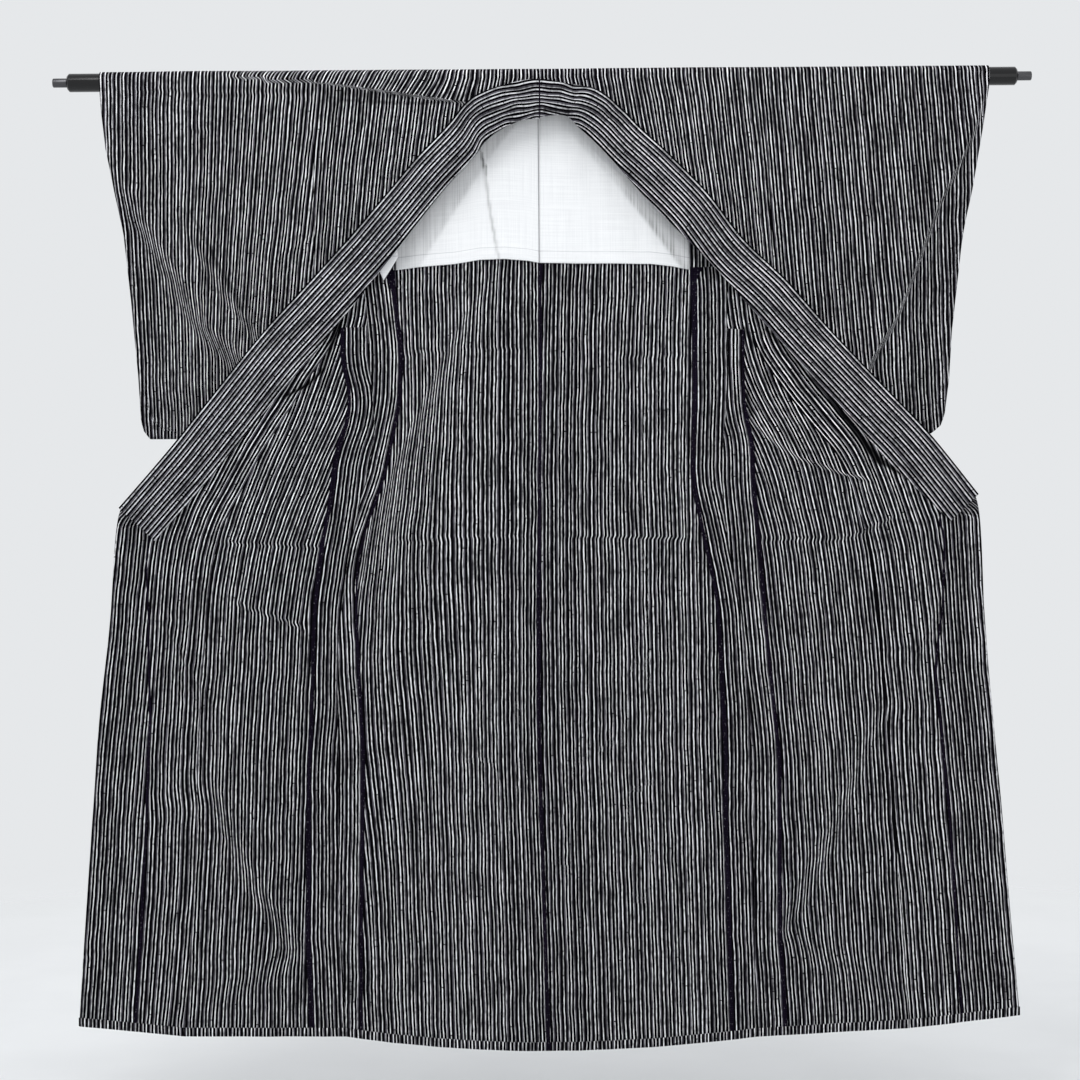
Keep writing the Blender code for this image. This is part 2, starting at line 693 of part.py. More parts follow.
def add_side(side):
    """All the cloth pieces of one side."""
    sheets = [
        ("back_", BACK_STEPS, back_sheet, CLOTH_WALL, STRIPED),
        ("front_shoulder_", SHOULDER_STEPS, shoulder_sheet, CLOTH_WALL, STRIPED),
        ("front_", FRONT_STEPS, front_sheet, CLOTH_WALL, STRIPED),
        ("okumi_", OKUMI_STEPS, okumi_sheet, CLOTH_WALL, STRIPED),
        ("collar_", COLLAR_STEPS, collar_sheet, COLLAR_WALL, STRIPED),
        ("lining_", LINING_STEPS, lining_sheet, LINING_WALL, WHITE_COTTON),
        ("back_allowance_", allowance_steps(BACK_STEPS, "back"), back_allowance_sheet, ALLOWANCE_WALL, DARK_SELVAGE),
        ("front_allowance_", allowance_steps(FRONT_STEPS, "front"), front_allowance_sheet, ALLOWANCE_WALL, DARK_SELVAGE),
        ("edge_turning_", allowance_steps(OKUMI_STEPS, "okumi"), edge_turning_sheet, ALLOWANCE_WALL, DARK_SELVAGE),
    ]
    for prefix, steps, sheet, wall, finish in sheets:
        inset = SEAM_GAP / 2 if finish is STRIPED else LYING_INSET
        add_sheet(prefix + side, steps, lambda u, v, make=sheet: make(side, u, v), wall, finish, inset)
    add_sleeve(side)


def clear_scene():
    for old in list(bpy.data.objects):
        bpy.data.objects.remove(old, do_unlink=True)


def main():
    clear_scene()
    bpy.context.scene.collection.children.link(bpy.data.collections.new("kimono"))
    add_rod()
    for side in SIDES:
        add_side(side)


main()
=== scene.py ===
"""A striped kimono, hung open on its black rod: its cloth, rod, light and camera."""

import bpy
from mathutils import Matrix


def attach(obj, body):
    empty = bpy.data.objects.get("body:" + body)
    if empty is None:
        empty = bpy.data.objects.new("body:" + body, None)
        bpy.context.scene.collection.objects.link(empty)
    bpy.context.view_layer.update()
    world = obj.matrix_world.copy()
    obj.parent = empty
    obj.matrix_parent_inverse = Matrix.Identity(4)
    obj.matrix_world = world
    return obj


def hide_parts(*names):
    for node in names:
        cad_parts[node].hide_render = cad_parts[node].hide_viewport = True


bl_info = {
    "name": "Striped kimono on a rod",
    "version": (1, 0, 0),
    "blender": (4, 5, 0),
    "location": "3D View > Sidebar > Kimono",
    "description": "Builds the cloth, the rod and the studio of a hung, opened kimono",
    "category": "Add Mesh",
}

import math
from collections import namedtuple

import bpy
from bpy.props import FloatProperty, FloatVectorProperty, PointerProperty
from bpy.types import Operator, Panel, PropertyGroup
from mathutils import Matrix, Vector, noise

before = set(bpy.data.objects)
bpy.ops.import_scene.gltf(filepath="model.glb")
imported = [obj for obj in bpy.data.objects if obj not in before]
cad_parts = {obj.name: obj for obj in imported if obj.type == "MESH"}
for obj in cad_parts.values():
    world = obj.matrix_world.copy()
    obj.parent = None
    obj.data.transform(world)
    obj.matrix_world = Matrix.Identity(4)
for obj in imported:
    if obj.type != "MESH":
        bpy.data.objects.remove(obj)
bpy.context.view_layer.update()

MM = 0.001
SIDES = ("left", "right")
SIGN = {"left": -1, "right": 1}

# Rod and walls, in millimetres
ROD_RADIUS = 13.65
CLOTH_WALL = 0.8
TURNED_WALL = 0.6
HANG_RADIUS = 14.75
SEAM_GAP = 0.25


def table(kind, *rows):
    """Rows of plain numbers as a list of one kind of named row."""
    return [kind(*row) for row in rows]


# Centre back seam from the rod to the hem
CentreRow = namedtuple("CentreRow", "x z y")
CENTRE = table(CentreRow,
    (-4, 0, HANG_RADIUS), (-4, -60, 14.2), (-5, -120, 13.5), (-5, -180, 12.5), (-5, -240, 11),
    (-5, -283, 10), (-6, -320, 9), (-6, -394, 8), (-6, -461, 7), (-7, -529, 6), (-8, -590, 5),
    (-9, -646, 4.5), (-10, -704, 4), (-11, -768, 3), (-12, -851, 2), (-12, -974, 1), (-10, -1080, 0),
    (-6, -1238, -2), (-1, -1455, -5))

# Side edge of the back from the rod to the armhole's end
SideRow = namedtuple("SideRow", "x z y")
BACK_SIDE = {
    "left": table(SideRow,
        (-342, 0, HANG_RADIUS), (-342, -60, 14.2), (-342, -120, 13), (-342, -180, 11.5), (-342, -240, 9.5),
        (-342, -284, 4)),
    "right": table(SideRow,
        (328, 0, HANG_RADIUS), (331.5, -60, 14.2), (335, -120, 13), (338.4, -180, 11.5), (342, -240, 9.5),
        (342, -282, 4)),
}

# Weft lines of an opened front: side seam, overlap seam and outer edge, from the armpit to the hem
WeftRow = namedtuple("WeftRow", "side_x side_z side_y okumi_x okumi_z okumi_y edge_x edge_z edge_y")
FRONT = {
    "left": table(WeftRow,
        (-274, -313, -8, -290, -325, -12.5, -316, -323, -19),
        (-263, -390, -8, -313, -389, -17, -336, -395, -25),
        (-259, -457, -8, -352, -450, -20, -387, -454, -28),
        (-255, -527, -8, -390, -509, -22, -437, -513, -28),
        (-266, -590, -8, -425, -565, -22, -486, -568, -26.5),
        (-280, -644, -8, -455, -619, -20.5, -540, -606, -24),
        (-293, -701, -7, -482, -672, -20, -594, -628, -22.5),
        (-302, -763, -7, -499, -739, -18, -634, -645, -22),
        (-312, -853, -6, -510, -851, -16, -650, -805, -21),
        (-313, -973, -5, -519, -978, -14, -667, -953, -20),
        (-313, -1078, -5, -524, -1082, -13, -676, -1072, -20),
        (-312, -1227, -5, -530, -1223, -13, -686, -1206, -21),
        (-304, -1431, -6, -545, -1427, -14, -700, -1409, -23)),
    "right": table(WeftRow,
        (281, -304, -8, 299, -318, -12.5, 330, -310, -19),
        (275, -400, -8, 316, -402, -17, 360, -394, -25),
        (275, -468, -8, 356, -468, -20, 405, -446, -28),
        (268, -531, -8, 398, -522, -22, 453, -499, -28),
        (265, -588, -8, 437, -572, -22, 501, -556, -26.5),
        (267, -648, -8, 463, -635, -20.5, 553, -606, -24),
        (276, -711, -7, 482, -702, -20, 602, -626, -22.5),
        (287, -775, -7, 492, -769, -18, 643, -637, -22),
        (297, -850, -6, 500, -859, -16, 654, -815, -21),
        (305, -977, -5, 510, -985, -14, 666, -963, -20),
        (308, -1082, -5, 516, -1090, -13, 676, -1082, -20),
        (309, -1232, -5, 527, -1231, -13, 687, -1231, -21),
        (309, -1436, -6, 538, -1423, -14, 701, -1403, -23)),
}

# Armhole seam between sleeve and body, and the sleeve's inner edge below it
SeamRow = namedtuple("SeamRow", "z x")
ARMHOLE = {
    "left": table(SeamRow, (0, -342), (-540, -342)),
    "right": table(SeamRow, (0, 328), (-260, 343), (-540, 343)),
}

# Cuff edge of each sleeve, down to its rounded corner
CUFF = {
    "left": table(SeamRow,
        (16, -663), (-47, -659), (-101, -653), (-144, -643), (-232, -629), (-326, -619), (-440, -609),
        (-508, -605), (-523, -601), (-535, -592)),
    "right": table(SeamRow,
        (16, 669), (-15, 668), (-76, 658), (-175, 641), (-247, 628), (-380, 612), (-454, 607), (-506, 600),
        (-523, 594), (-535, 580)),
}
SLEEVE_HALF_DEPTH = 9.5
SLEEVE_EDGE_HALF_DEPTH = 1.3
SLEEVE_PINCH = 90.0
ARMHOLE_DEPTH = 230.0

# Lower end of the shoulder part, where it turns back under the collar
SHOULDER_END = {
    "left": table(SeamRow,
        (-262, -342), (-290, -318), (-306, -290), (-302, -267), (-243, -209), (-171, -156), (-137, -117),
        (-98, -90), (-77, -63), (-60, -21), (-59, 0)),
    "right": table(SeamRow,
        (-271, 346), (-290, 318), (-298, 295), (-294, 276), (-286, 265), (-250, 224), (-185, 158),
        (-135, 116), (-97, 82), (-72, 54), (-55, 34), (-57, -6)),
}
SHOULDER_Y = -15.0

# Collar: its free upper edge and its sewn lower edge, from the centre back to its end
CollarRow = namedtuple("CollarRow", "free_x free_z free_y sewn_x sewn_z sewn_y")
COLLAR = {
    "left": table(CollarRow,
        (-4, -3, -20, -4, -62, -17.5),
        (-42, -8, -20.5, -31, -65, -17.5),
        (-84, -20, -22, -63, -79, -17.5),
        (-113, -37, -23, -86, -97, -17.6),
        (-142, -72, -24, -103, -120, -17.7),
        (-190, -122, -25, -144, -164, -18),
        (-240, -181, -26, -192, -223, -18.5),
        (-293, -243, -29, -244, -289, -20),
        (-357, -313, -32, -307, -369, -27),
        (-421, -383, -34, -368, -442, -31),
        (-502, -482, -32, -446, -533, -30.5),
        (-560, -553, -29, -504, -602, -28),
        (-635, -638, -26, -581, -688, -26)),
    "right": table(CollarRow,
        (-4, -3, -20, -4, -60, -17.5),
        (41, -11, -20.5, 33, -58, -17.5),
        (83, -20, -22, 54, -76, -17.5),
        (118, -48, -23, 80, -100, -17.6),
        (146, -77, -24, 107, -129, -17.7),
        (192, -120, -25, 146, -174, -18),
        (246, -176, -26, 196, -226, -18.5),
        (300, -247, -29, 254, -285, -20),
        (362, -308, -32, 308, -348, -27),
        (428, -384, -34, 370, -419, -31),
        (510, -471, -32, 452, -511, -30.5),
        (573, -537, -29, 515, -582, -28),
        (645, -627, -26, 603, -667, -26)),
}
COLLAR_BULGE = 2.0
NEAR = 0.002

# Yoke lining: its hem and its side edges
LINING_HEM = -272.0
LINING_SIDE = {"left": -222.0, "right": 220.0}

# Turned-in outer edge of each overlap panel: how far it reaches from its fold at a height
WidthRow = namedtuple("WidthRow", "z width")
EDGE_TURNING = {
    "left": table(WidthRow, (-700, 56), (-825, 63), (-940, 77), (-1271, 87), (-1405, 85)),
    "right": table(WidthRow, (-700, 70), (-777, 69), (-877, 82), (-1123, 81), (-1399, 88)),
}
MOST_REACH = 0.6

# Largest folds: a ridge stands towards -Y, a trough has a negative height
Fold = namedtuple("Fold", "x0 z0 x1 z1 width height")
FOLDS = {
    "sleeve_left": table(Fold,
        (-650, -100, -530, -330, 16, 4.5),
        (-530, -330, -430, -440, 18, 3.5),
        (-556, -180, -425, -390, 20, 3.0),
        (-610, -240, -560, -500, 26, -2.5),
        (-470, -300, -380, -500, 24, 2.0)),
    "sleeve_right": table(Fold,
        (664, -40, 600, -180, 18, 3.5),
        (602, -175, 485, -440, 20, 4.5),
        (560, -90, 470, -300, 24, 2.5),
        (610, -260, 560, -500, 26, -2.5),
        (450, -300, 390, -500, 24, 2.0)),
    "shoulder_left": table(Fold, (-340, -14, -115, -44, 12, 1.2), (-320, -60, -250, -200, 22, 1.4)),
    "shoulder_right": table(Fold, (330, -20, 140, -52, 14, 1.0), (310, -80, 240, -220, 22, 1.4)),
    "front_left": table(Fold,
        (-290, -400, -370, -520, 18, 2.5),
        (-275, -430, -320, -640, 16, 3.0),
        (-400, -600, -360, -760, 24, 4.0),
        (-571, -797, -480, -969, 20, 5.0),
        (-640, -760, -600, -1100, 30, -4.0),
        (-440, -900, -420, -1400, 34, 5.0),
        (-350, -820, -340, -1400, 22, -3.0),
        (-600, -1100, -610, -1420, 26, 5.0),
        (-500, -1050, -490, -1420, 26, -4.5)),
    "front_right": table(Fold,
        (284, -470, 357, -590, 16, 3.0),
        (357, -590, 440, -600, 16, 2.5),
        (345, -388, 413, -475, 12, -2.5),
        (330, -640, 400, -780, 24, 3.5),
        (625, -700, 545, -890, 20, 5.0),
        (470, -1040, 419, -1170, 20, 4.5),
        (600, -960, 610, -1390, 32, 5.0),
        (380, -900, 390, -1410, 30, 4.5),
        (450, -1180, 460, -1410, 24, -4.5),
        (640, -820, 660, -1100, 24, -4.0)),
    "back_left": table(Fold,
        (-230, -420, -190, -760, 26, 3.0),
        (-120, -420, -100, -1000, 40, -2.5),
        (-210, -900, -220, -1430, 30, 4.0),
        (-90, -980, -80, -1440, 32, 3.5),
        (-150, -1000, -150, -1440, 24, -3.0)),
    "back_right": table(Fold,
        (210, -420, 150, -740, 26, 3.0),
        (90, -420, 100, -1000, 40, -2.5),
        (205, -900, 215, -1430, 30, 4.0),
        (80, -980, 70, -1440, 32, 3.5),
        (140, -1000, 145, -1440, 24, -3.0)),
}


def smooth(value):
    """A soft step from 0 to 1."""
    value = min(max(value, 0.0), 1.0)
    return value * value * (3 - 2 * value)


def along(rows, place):
    """The row at a fractional place in a table, on a smooth curve through its rows."""
    last = len(rows) - 1
    place = min(max(place, 0.0), last)
    start = min(int(place), last - 1)
    t = place - start
    before = rows[max(start - 1, 0)]
    after = rows[min(start + 2, last)]
    values = []
    for a, b, c, d in zip(before, rows[start], rows[start + 1], after):
        values.append(b + 0.5 * t * (c - a + t * (2 * a - 5 * b + 4 * c - d + t * (3 * (b - c) + d - a))))
    return type(rows[0])(*values)


def at_height(rows, z):
    """The second column of a table at a height, straight between its rows."""
    if z >= rows[0].z:
        return rows[0][1]
    for upper, lower in zip(rows, rows[1:]):
        if z >= lower.z:
            share = (upper.z - z) / (upper.z - lower.z)
            return upper[1] + (lower[1] - upper[1]) * share
    return rows[-1][1]


def at_distance(rows, x):
    """The height of a lower end at a place along the rod, straight between its rows."""
    for outer, inner in zip(rows, rows[1:]):
        if min(outer.x, inner.x) <= x <= max(outer.x, inner.x):
            share = (outer.x - x) / (outer.x - inner.x)
            return outer.z + (inner.z - outer.z) * share
    return rows[0].z if abs(x) > abs(rows[0].x) else rows[-1].z


def folds(sheet, x, z):
    """How far the folds of a sheet push it towards -Y."""
    push = 0.0
    for fold in FOLDS[sheet]:
        run_x = fold.x1 - fold.x0
        run_z = fold.z1 - fold.z0
        length = math.hypot(run_x, run_z)
        share = ((x - fold.x0) * run_x + (z - fold.z0) * run_z) / length ** 2
        if not 0 < share < 1:
            continue
        off = ((x - fold.x0) * run_z - (z - fold.z0) * run_x) / length
        fade = smooth(share / 0.3) * smooth((1 - share) / 0.3)
        push += fold.height * fade * math.exp(-(off / fold.width) ** 2)
    return push


# Creases and jogs: their path, width and height, and how far they draw the stripes along X at both
# ends of the path. With a reach, the stripes come back to their own line beyond it
Crease = namedtuple("Crease", "path width height draw_start draw_end reach", defaults=(0, 0, 0))
CREASES = {
    "sleeve_left": table(Crease,
        (((-658, -86), (-652, -113), (-624, -173), (-600, -214), (-571, -265), (-542, -312), (-507, -375),
          (-479, -402), (-456, -428)),
         20, 6.5, -3, -22),
        (((-423, -394), (-451, -357), (-478, -321), (-497, -288), (-521, -252), (-551, -196)), 8, -4.5, 9),
        (((-603, -14), (-592, -131), (-570, -252)), 8, 1.6),
        (((-435, -25), (-457, -162), (-470, -290)), 9, 1.4),
        (((-381, -46), (-390, -178), (-401, -271)), 7, -1.5),
        (((-579, -359), (-567, -435), (-556, -513)), 9, 2.0),
        (((-624, -14), (-363, -24), (-318, -27)), 1.8, 0.6, -1.0, -1.4, 20),
        (((-529, -73), (-493, -74)), 1.8, 0.6, -1.2, -1.2, 14)),
    "sleeve_right": table(Crease,
        (((489, -433), (505, -402), (521, -375), (536, -344), (557, -290), (576, -238), (597, -185),
          (626, -127), (647, -81), (663, -30)),
         2.4, 3.6, 30, 3),
        (((390, -31), (405, -184), (417, -334)), 9, 1.5),
        (((480, -40), (494, -154), (505, -254)), 8, -1.6),
        (((358, -63), (367, -259)), 6, 1.1),
        (((543, -368), (538, -443), (545, -521)), 9, 2.0),
        (((592, -260), (576, -380), (578, -515)), 8, -1.6)),
    "shoulder_left": table(Crease,
        (((-318, -7), (-183, -28), (-108, -39)), 3, 1.4),
        (((-312, -46), (-337, -163), (-356, -271)), 8, 1.5),
        (((-208, -56), (-256, -161), (-287, -218)), 9, -1.3)),
    "shoulder_right": table(Crease,
        (((138, -50), (188, -167), (226, -275)), 9, 1.4),
        (((243, -21), (269, -168), (298, -312)), 8, -1.4),
        (((90, -27), (146, -107)), 6, 1.2)),
    "front_left": table(Crease,
        (((-320, -702), (-368, -697), (-425, -694), (-497, -690)), 2, 1.0, 3.4, 2.6, 60),
        (((-353, -823), (-405, -803), (-471, -780)), 2.2, 1.4, 4.2, 2.8, 55),
        (((-582, -788), (-549, -846), (-518, -897), (-481, -966)), 3.5, 4.2, 0, -3, 50),
        (((-571, -797), (-553, -831), (-531, -875), (-514, -906), (-498, -935), (-480, -969)),
         4, 2.2, 0, 3, 60),
        (((-513, -1032), (-500, -1065), (-453, -1178), (-395, -1276), (-366, -1330)), 20, 3.0, -7, -11, 110),
        (((-596, -1016), (-591, -1151), (-601, -1286)), 8, 1.8),
        (((-427, -958), (-438, -1138), (-430, -1348)), 9, 1.8),
        (((-487, -927), (-500, -1077), (-498, -1227)), 6, -1.6),
        (((-373, -478), (-409, -538), (-455, -606)), 7, 2.4),
        (((-340, -508), (-358, -583), (-389, -658)), 6, -2.0)),
    "front_right": table(Crease,
        (((287, -489), (311, -522), (341, -549), (378, -572), (441, -595), (498, -608)), 4, 2.8, -2, -6, 45),
        (((540, -653), (497, -671), (475, -682), (440, -693), (322, -693), (232, -694)),
         2, 1.0, -3.6, -2.0, 60),
        (((304, -525), (315, -453), (302, -386)), 5, -3.0),
        (((625, -700), (606, -743), (586, -788), (565, -840), (545, -890)), 4, 2.2, 0, -3, 60),
        (((470, -1060), (442, -1107), (419, -1156)), 4, 1.8),
        (((332, -1308), (366, -1247), (425, -1134), (505, -921)), 20, 3.0, 11, 7, 110),
        (((419, -934), (426, -1144), (416, -1369)), 9, 1.8),
        (((483, -844), (499, -1025), (510, -1175)), 6, -1.7),
        (((590, -935), (601, -1115), (596, -1325)), 8, 1.8),
        (((371, -514), (422, -556), (470, -577)), 6, 2.0)),
    "back_left": table(Crease,
        (((-258, -416), (-159, -405), (-12, -403)), 1.6, 0.7, -1.4, -1.2, 40),
        (((-14, -688), (-120, -688), (-240, -689)), 1.8, 0.8, 1.0, 2.0, 50),
        (((-98, -309), (-133, -375), (-172, -457), (-210, -539), (-248, -629), (-284, -719)), 10, 2.6),
        (((-191, -302), (-201, -374), (-210, -437)), 7, -1.8),
        (((-70, -330), (-76, -510), (-71, -660)), 8, 1.0),
        (((-159, -750), (-151, -930), (-159, -1170)), 9, 1.2),
        (((-57, -810), (-53, -1020), (-63, -1230)), 7, -1.2)),
    "back_right": table(Crease,
        (((102, -413), (219, -418)), 1.6, 0.7, 1.4, 1.2, 40),
        (((229, -693), (157, -689), (100, -687), (16, -686)), 2, 1.0, -4.5, -1, 90),
        (((219, -332), (198, -410), (179, -512)), 8, 1.8),
        (((54, -331), (62, -511), (52, -661)), 8, 1.0),
        (((141, -782), (131, -962), (141, -1202)), 9, 1.3),
        (((36, -811), (28, -1021), (36, -1231)), 7, -1.2)),
    "collar_left": table(Crease,
        (((-114, -24), (-105, -48), (-109, -66)), 3.5, -1.6),
        (((-142, -72), (-121, -90), (-106, -105)), 4, 1.3),
        (((-54, -6), (-51, -30), (-59, -60)), 4, -1.0),
        (((-287, -212), (-257, -239)), 5, 1.2),
        (((-441, -372), (-414, -406)), 5, -1.0)),
    "collar_right": table(Crease,
        (((42, -10), (51, -28), (43, -46)), 3.5, -1.5),
        (((87, -19), (96, -49), (80, -73)), 4, 1.4),
        (((6, -50), (24, -47), (43, -54)), 2.5, -2.0),
        (((235, -204), (211, -230)), 5, 1.2),
        (((438, -418), (411, -442)), 5, -1.0)),
    "lining_left": table(Crease,
        (((-94, -90), (-88, -120), (-85, -144), (-77, -198), (-67, -267)), 2.6, 2.6),
        (((-169, -180), (-179, -239)), 8, 1.2)),
    "lining_right": table(Crease, (((86, -106), (145, -197), (169, -266)), 9, 1.2)),
}

# Stripes lean below these lines: a positive slope leads down and to the left
Lean = namedtuple("Lean", "path slope depth")
LEANS = {
    "back_left": table(Lean,
        (((-291, -731), (-248, -629), (-210, -539), (-172, -457), (-133, -375), (-98, -315), (-65, -273)),
         0.27, 75),
        (((-290, -284), (-227, -281), (-155, -273)), -0.12, 70)),
    "back_right": table(Lean, (((84, -331), (220, -305), (295, -303)), 0.06, 90)),
}

# Dark gaps where one layer dips behind the next: width at both ends and depth of the shade
Gap = namedtuple("Gap", "path start end shade")
GAPS = {
    "sleeve_left": table(Gap,
        (((-530, -192), (-504, -237), (-484, -282), (-451, -339)), 1.6, 5.0, 0.6),
        (((-506, -22), (-420, -26), (-318, -28)), 1.0, 2.2, 0.5),
        (((-503, -9), (-420, -14), (-296, -23)), 2.0, 6.0, 0.4)),
    "sleeve_right": table(Gap, (((660, -33), (611, -155), (557, -278), (495, -428)), 0.7, 1.1, 0.45)),
    "back_left": table(Gap,
        (((-318, -28), (-264, -35), (-183, -38), (-114, -34)), 2.2, 2.2, 0.5),
        (((-324, -19), (-207, -26), (-114, -27)), 6.0, 5.0, 0.35)),
    "front_left": table(Gap,
        (((-304, -362), (-317, -396), (-330, -435), (-352, -456), (-382, -472)), 3.5, 2.5, 0.9)),
    "front_right": table(Gap,
        (((300, -378), (306, -390), (312, -402)), 4.0, 2.0, 0.85),
        (((302, -474), (304, -489), (310, -506)), 2.5, 3.5, 0.85)),
    "okumi_left": table(Gap,
        (((-304, -362), (-317, -396), (-330, -435), (-352, -456), (-382, -472)), 3.5, 2.5, 0.9)),
    "okumi_right": table(Gap,
        (((330, -378), (360, -408), (391, -448), (422, -484)), 2.0, 2.5, 0.8),
        (((422, -484), (455, -523), (482, -559), (497, -575)), 2.5, 7.5, 0.96),
        (((497, -575), (512, -584), (528, -596)), 7.0, 1.5, 0.9)),
    "lining_left": table(Gap,
        (((-95, -98), (-91, -114), (-87, -129)), 1.2, 2.8, 0.7),
        (((-87, -129), (-85, -141)), 2.8, 1.2, 0.5),
        (((-87, -132), (-80, -195), (-67, -267)), 2.2, 1.9, 0.3)),
    "collar_right": table(Gap, (((4, -50), (24, -50), (40, -54)), 3.6, 2.4, 0.8)),
}


def nearest_on(path, x, z):
    """Distance from a line of points, the side it lies on, and the share along the line."""
    nearest = None
    done = 0.0
    for (x0, z0), (x1, z1) in zip(path, path[1:]):
        run_x = x1 - x0
        run_z = z1 - z0
        length = math.hypot(run_x, run_z)
        share = min(max(((x - x0) * run_x + (z - z0) * run_z) / length ** 2, 0), 1)
        away = math.hypot(x - x0 - run_x * share, z - z0 - run_z * share)
        if nearest is None or away < nearest[0]:
            nearest = (away, run_x * (z - z0) - run_z * (x - x0) < 0, done + share * length)
        done += length
    away, on_right, place = nearest
    return away, on_right, place / done


def crease_at(crease, x, z):
    """How far a crease pushes a point out, and how far it draws the stripes along X there."""
    away, on_right, share = nearest_on(crease.path, x, z)
    if not crease.draw_start and not crease.draw_end and away > 3 * crease.width:
        return 0.0, 0.0
    fade = smooth(share / 0.15) * smooth((1 - share) / 0.15)
    width = crease.width * (1 + 0.7 * noise.noise(Vector((x / 40, z / 40, 1.7))))
    push = crease.height * fade * math.exp(-(away / width) ** 2)
    signed = away if on_right else -away
    draw = crease.draw_start + (crease.draw_end - crease.draw_start) * share
    draw *= smooth(0.5 + signed / width / 2)
    if crease.reach:
        draw *= fade * math.exp(-max(signed, 0) / crease.reach)
    return push, draw


def line_height(path, x):
    """The height of a line of points at a place along the rod, or None beside it."""
    for (x0, z0), (x1, z1) in zip(path, path[1:]):
        if min(x0, x1) <= x <= max(x0, x1):
            return z0 + (z1 - z0) * (x - x0) / (x1 - x0)
    return None


def leaning(sheet, x, z):
    """How far the stripes have moved along X below the lines that they lean from."""
    moved = 0.0
    for lean in LEANS.get(sheet, ()):
        first, last = lean.path[0], lean.path[-1]
        height = line_height(lean.path, x)
        if height is None:
            height = first[1] if abs(x - first[0]) < abs(x - last[0]) else last[1]
        fade = smooth((last[0] + 60 - x) / 200) if x > first[0] else 1
        below = max(height - z, 0)
        reached = 1 - math.exp(-below / lean.depth)
        moved += lean.slope * lean.depth * reached * fade * (1 - smooth((below - 160) / 480))
    return moved


def drawn(sheet, x, z):
    """How far the creases of a sheet draw its stripes along X."""
    return sum(crease_at(crease, x, z)[1] for crease in CREASES[sheet]) + leaning(sheet, x, z)


# Soft unevenness of the hung cloth: its size along X and Z, its place in the noise and its height
Sway = namedtuple("Sway", "along_x along_z place height")
SWAYS = table(Sway, (46, 330, 3.1, 2.4), (19, 110, 8.7, 1.1), (60, 26, 5.2, 0.5))


def relief(sheet, x, z):
    """Folds, creases and the soft unevenness of a sheet, towards -Y."""
    uneven = sum(noise.noise(Vector((x / sway.along_x, z / sway.along_z, sway.place))) * sway.height
                 for sway in SWAYS)
    return folds(sheet, x, z) + uneven + sum(crease_at(crease, x, z)[0] for crease in CREASES[sheet])


def gap_shade(sheet, x, z):
    """How dark a point is in the gaps where one layer dips behind the next."""
    shade = 0.0
    for gap in GAPS.get(sheet, ()):
        away, _, share = nearest_on(gap.path, x, z)
        width = gap.start + (gap.end - gap.start) * share
        shade = max(shade, gap.shade * (1 - smooth(away / width - 0.4)))
    return shade


BACK_EDGE = {side: BACK_SIDE[side] + [SideRow(row.side_x, row.side_z, row.side_y) for row in FRONT[side]]
             for side in SIDES}
ARMPIT_ROW = len(BACK_SIDE["left"])


def back_point(side, u, row):
    """A point of the back: u runs from its side edge to the centre seam, row down its table."""
    edge = along(BACK_EDGE[side], row)
    centre = along(CENTRE, row)
    seam = at_height(ARMHOLE[side], edge.z)
    edge_x = edge.x if abs(edge.x) < abs(seam) else seam
    x = edge_x + (centre.x - edge_x) * u
    z = centre.z + (edge.z - centre.z) * (1 - u) ** 2
    y = centre.y + (edge.y - centre.y) * (1 - u) ** 2
    fade = smooth(u / 0.15) * smooth((1 - u) / 0.1) * smooth(-z / 60)
    return Vector((x, y - fade * relief("back_" + side, x, z), z))


def hang_radius(x):
    """Radius of the cloth over the rod, which lies a little unevenly on it."""
    return HANG_RADIUS + 0.7 + 0.7 * noise.noise(Vector((x / 120, 0.4, 2.2)))


def over_rod(x, share, facing):
    """A point on the quarter turn over the rod, from its top to its level."""
    angle = share * math.pi / 2
    lift = hang_radius(x) - HANG_RADIUS
    return Vector((x, facing * HANG_RADIUS * math.sin(angle), (HANG_RADIUS + lift) * math.cos(angle)))


# A sleeve grows thinner below this height, over this length, and its middle moves back a little
THINNER_BELOW = 160
THINNER_OVER = 240
MIDDLE_BACK = 1.5
MIDDLE_BACK_OVER = 300


def half_depth(z):
    """Half the space between a sleeve's front and back, away from its sewn edges."""
    return HANG_RADIUS + (SLEEVE_HALF_DEPTH - HANG_RADIUS) * smooth((-z - THINNER_BELOW) / THINNER_OVER)


def sleeve_middle(z):
    """How far behind the rod's plane the middle of a sleeve hangs."""
    return MIDDLE_BACK * smooth(-z / MIDDLE_BACK_OVER)


def armhole_y(z, facing):
    """How far the armhole seam stands off the rod's plane, on the front or the back."""
    return sleeve_middle(z) + facing * half_depth(z)


# The shoulder part runs this much further down behind the collar, beyond this distance from the centre
BEHIND_COLLAR = 30
BEHIND_COLLAR_FROM = 285


def shoulder_point(side, u, share):
    """A point of the shoulder part: share runs from the rod's level to the lower end."""
    outer = ARMHOLE[side][0].x
    x = outer + (CENTRE[0].x - outer) * u
    end = at_distance(SHOULDER_END[side], x)
    z = share * end * (1 - 8 * smooth((abs(outer) - abs(x)) / 40) / max(abs(end), 60))
    z -= BEHIND_COLLAR * smooth((abs(x) - BEHIND_COLLAR_FROM) / 30) * smooth((share - 0.85) / 0.15)
    x += (at_height(ARMHOLE[side], z) - outer) * (1 - u)
    y = -HANG_RADIUS + (SHOULDER_Y + HANG_RADIUS) * smooth(share * 3)
    edge_y = armhole_y(z, -1) - 0.5
    y = edge_y + (y - edge_y) * smooth(u * 8)
    fade = smooth(u * 6) * smooth(-z / 12)
    return Vector((x, y - relief("shoulder_" + side, x, z) * fade, z))


BACK_LAST = len(CENTRE) - 1
FRONT_LAST = len(FRONT["left"]) - 1

# Shares of the body's length: its shoulder part, and each quarter turn over the rod
SHOULDER_SHARE = 0.22
ARC_SHARE = 0.03


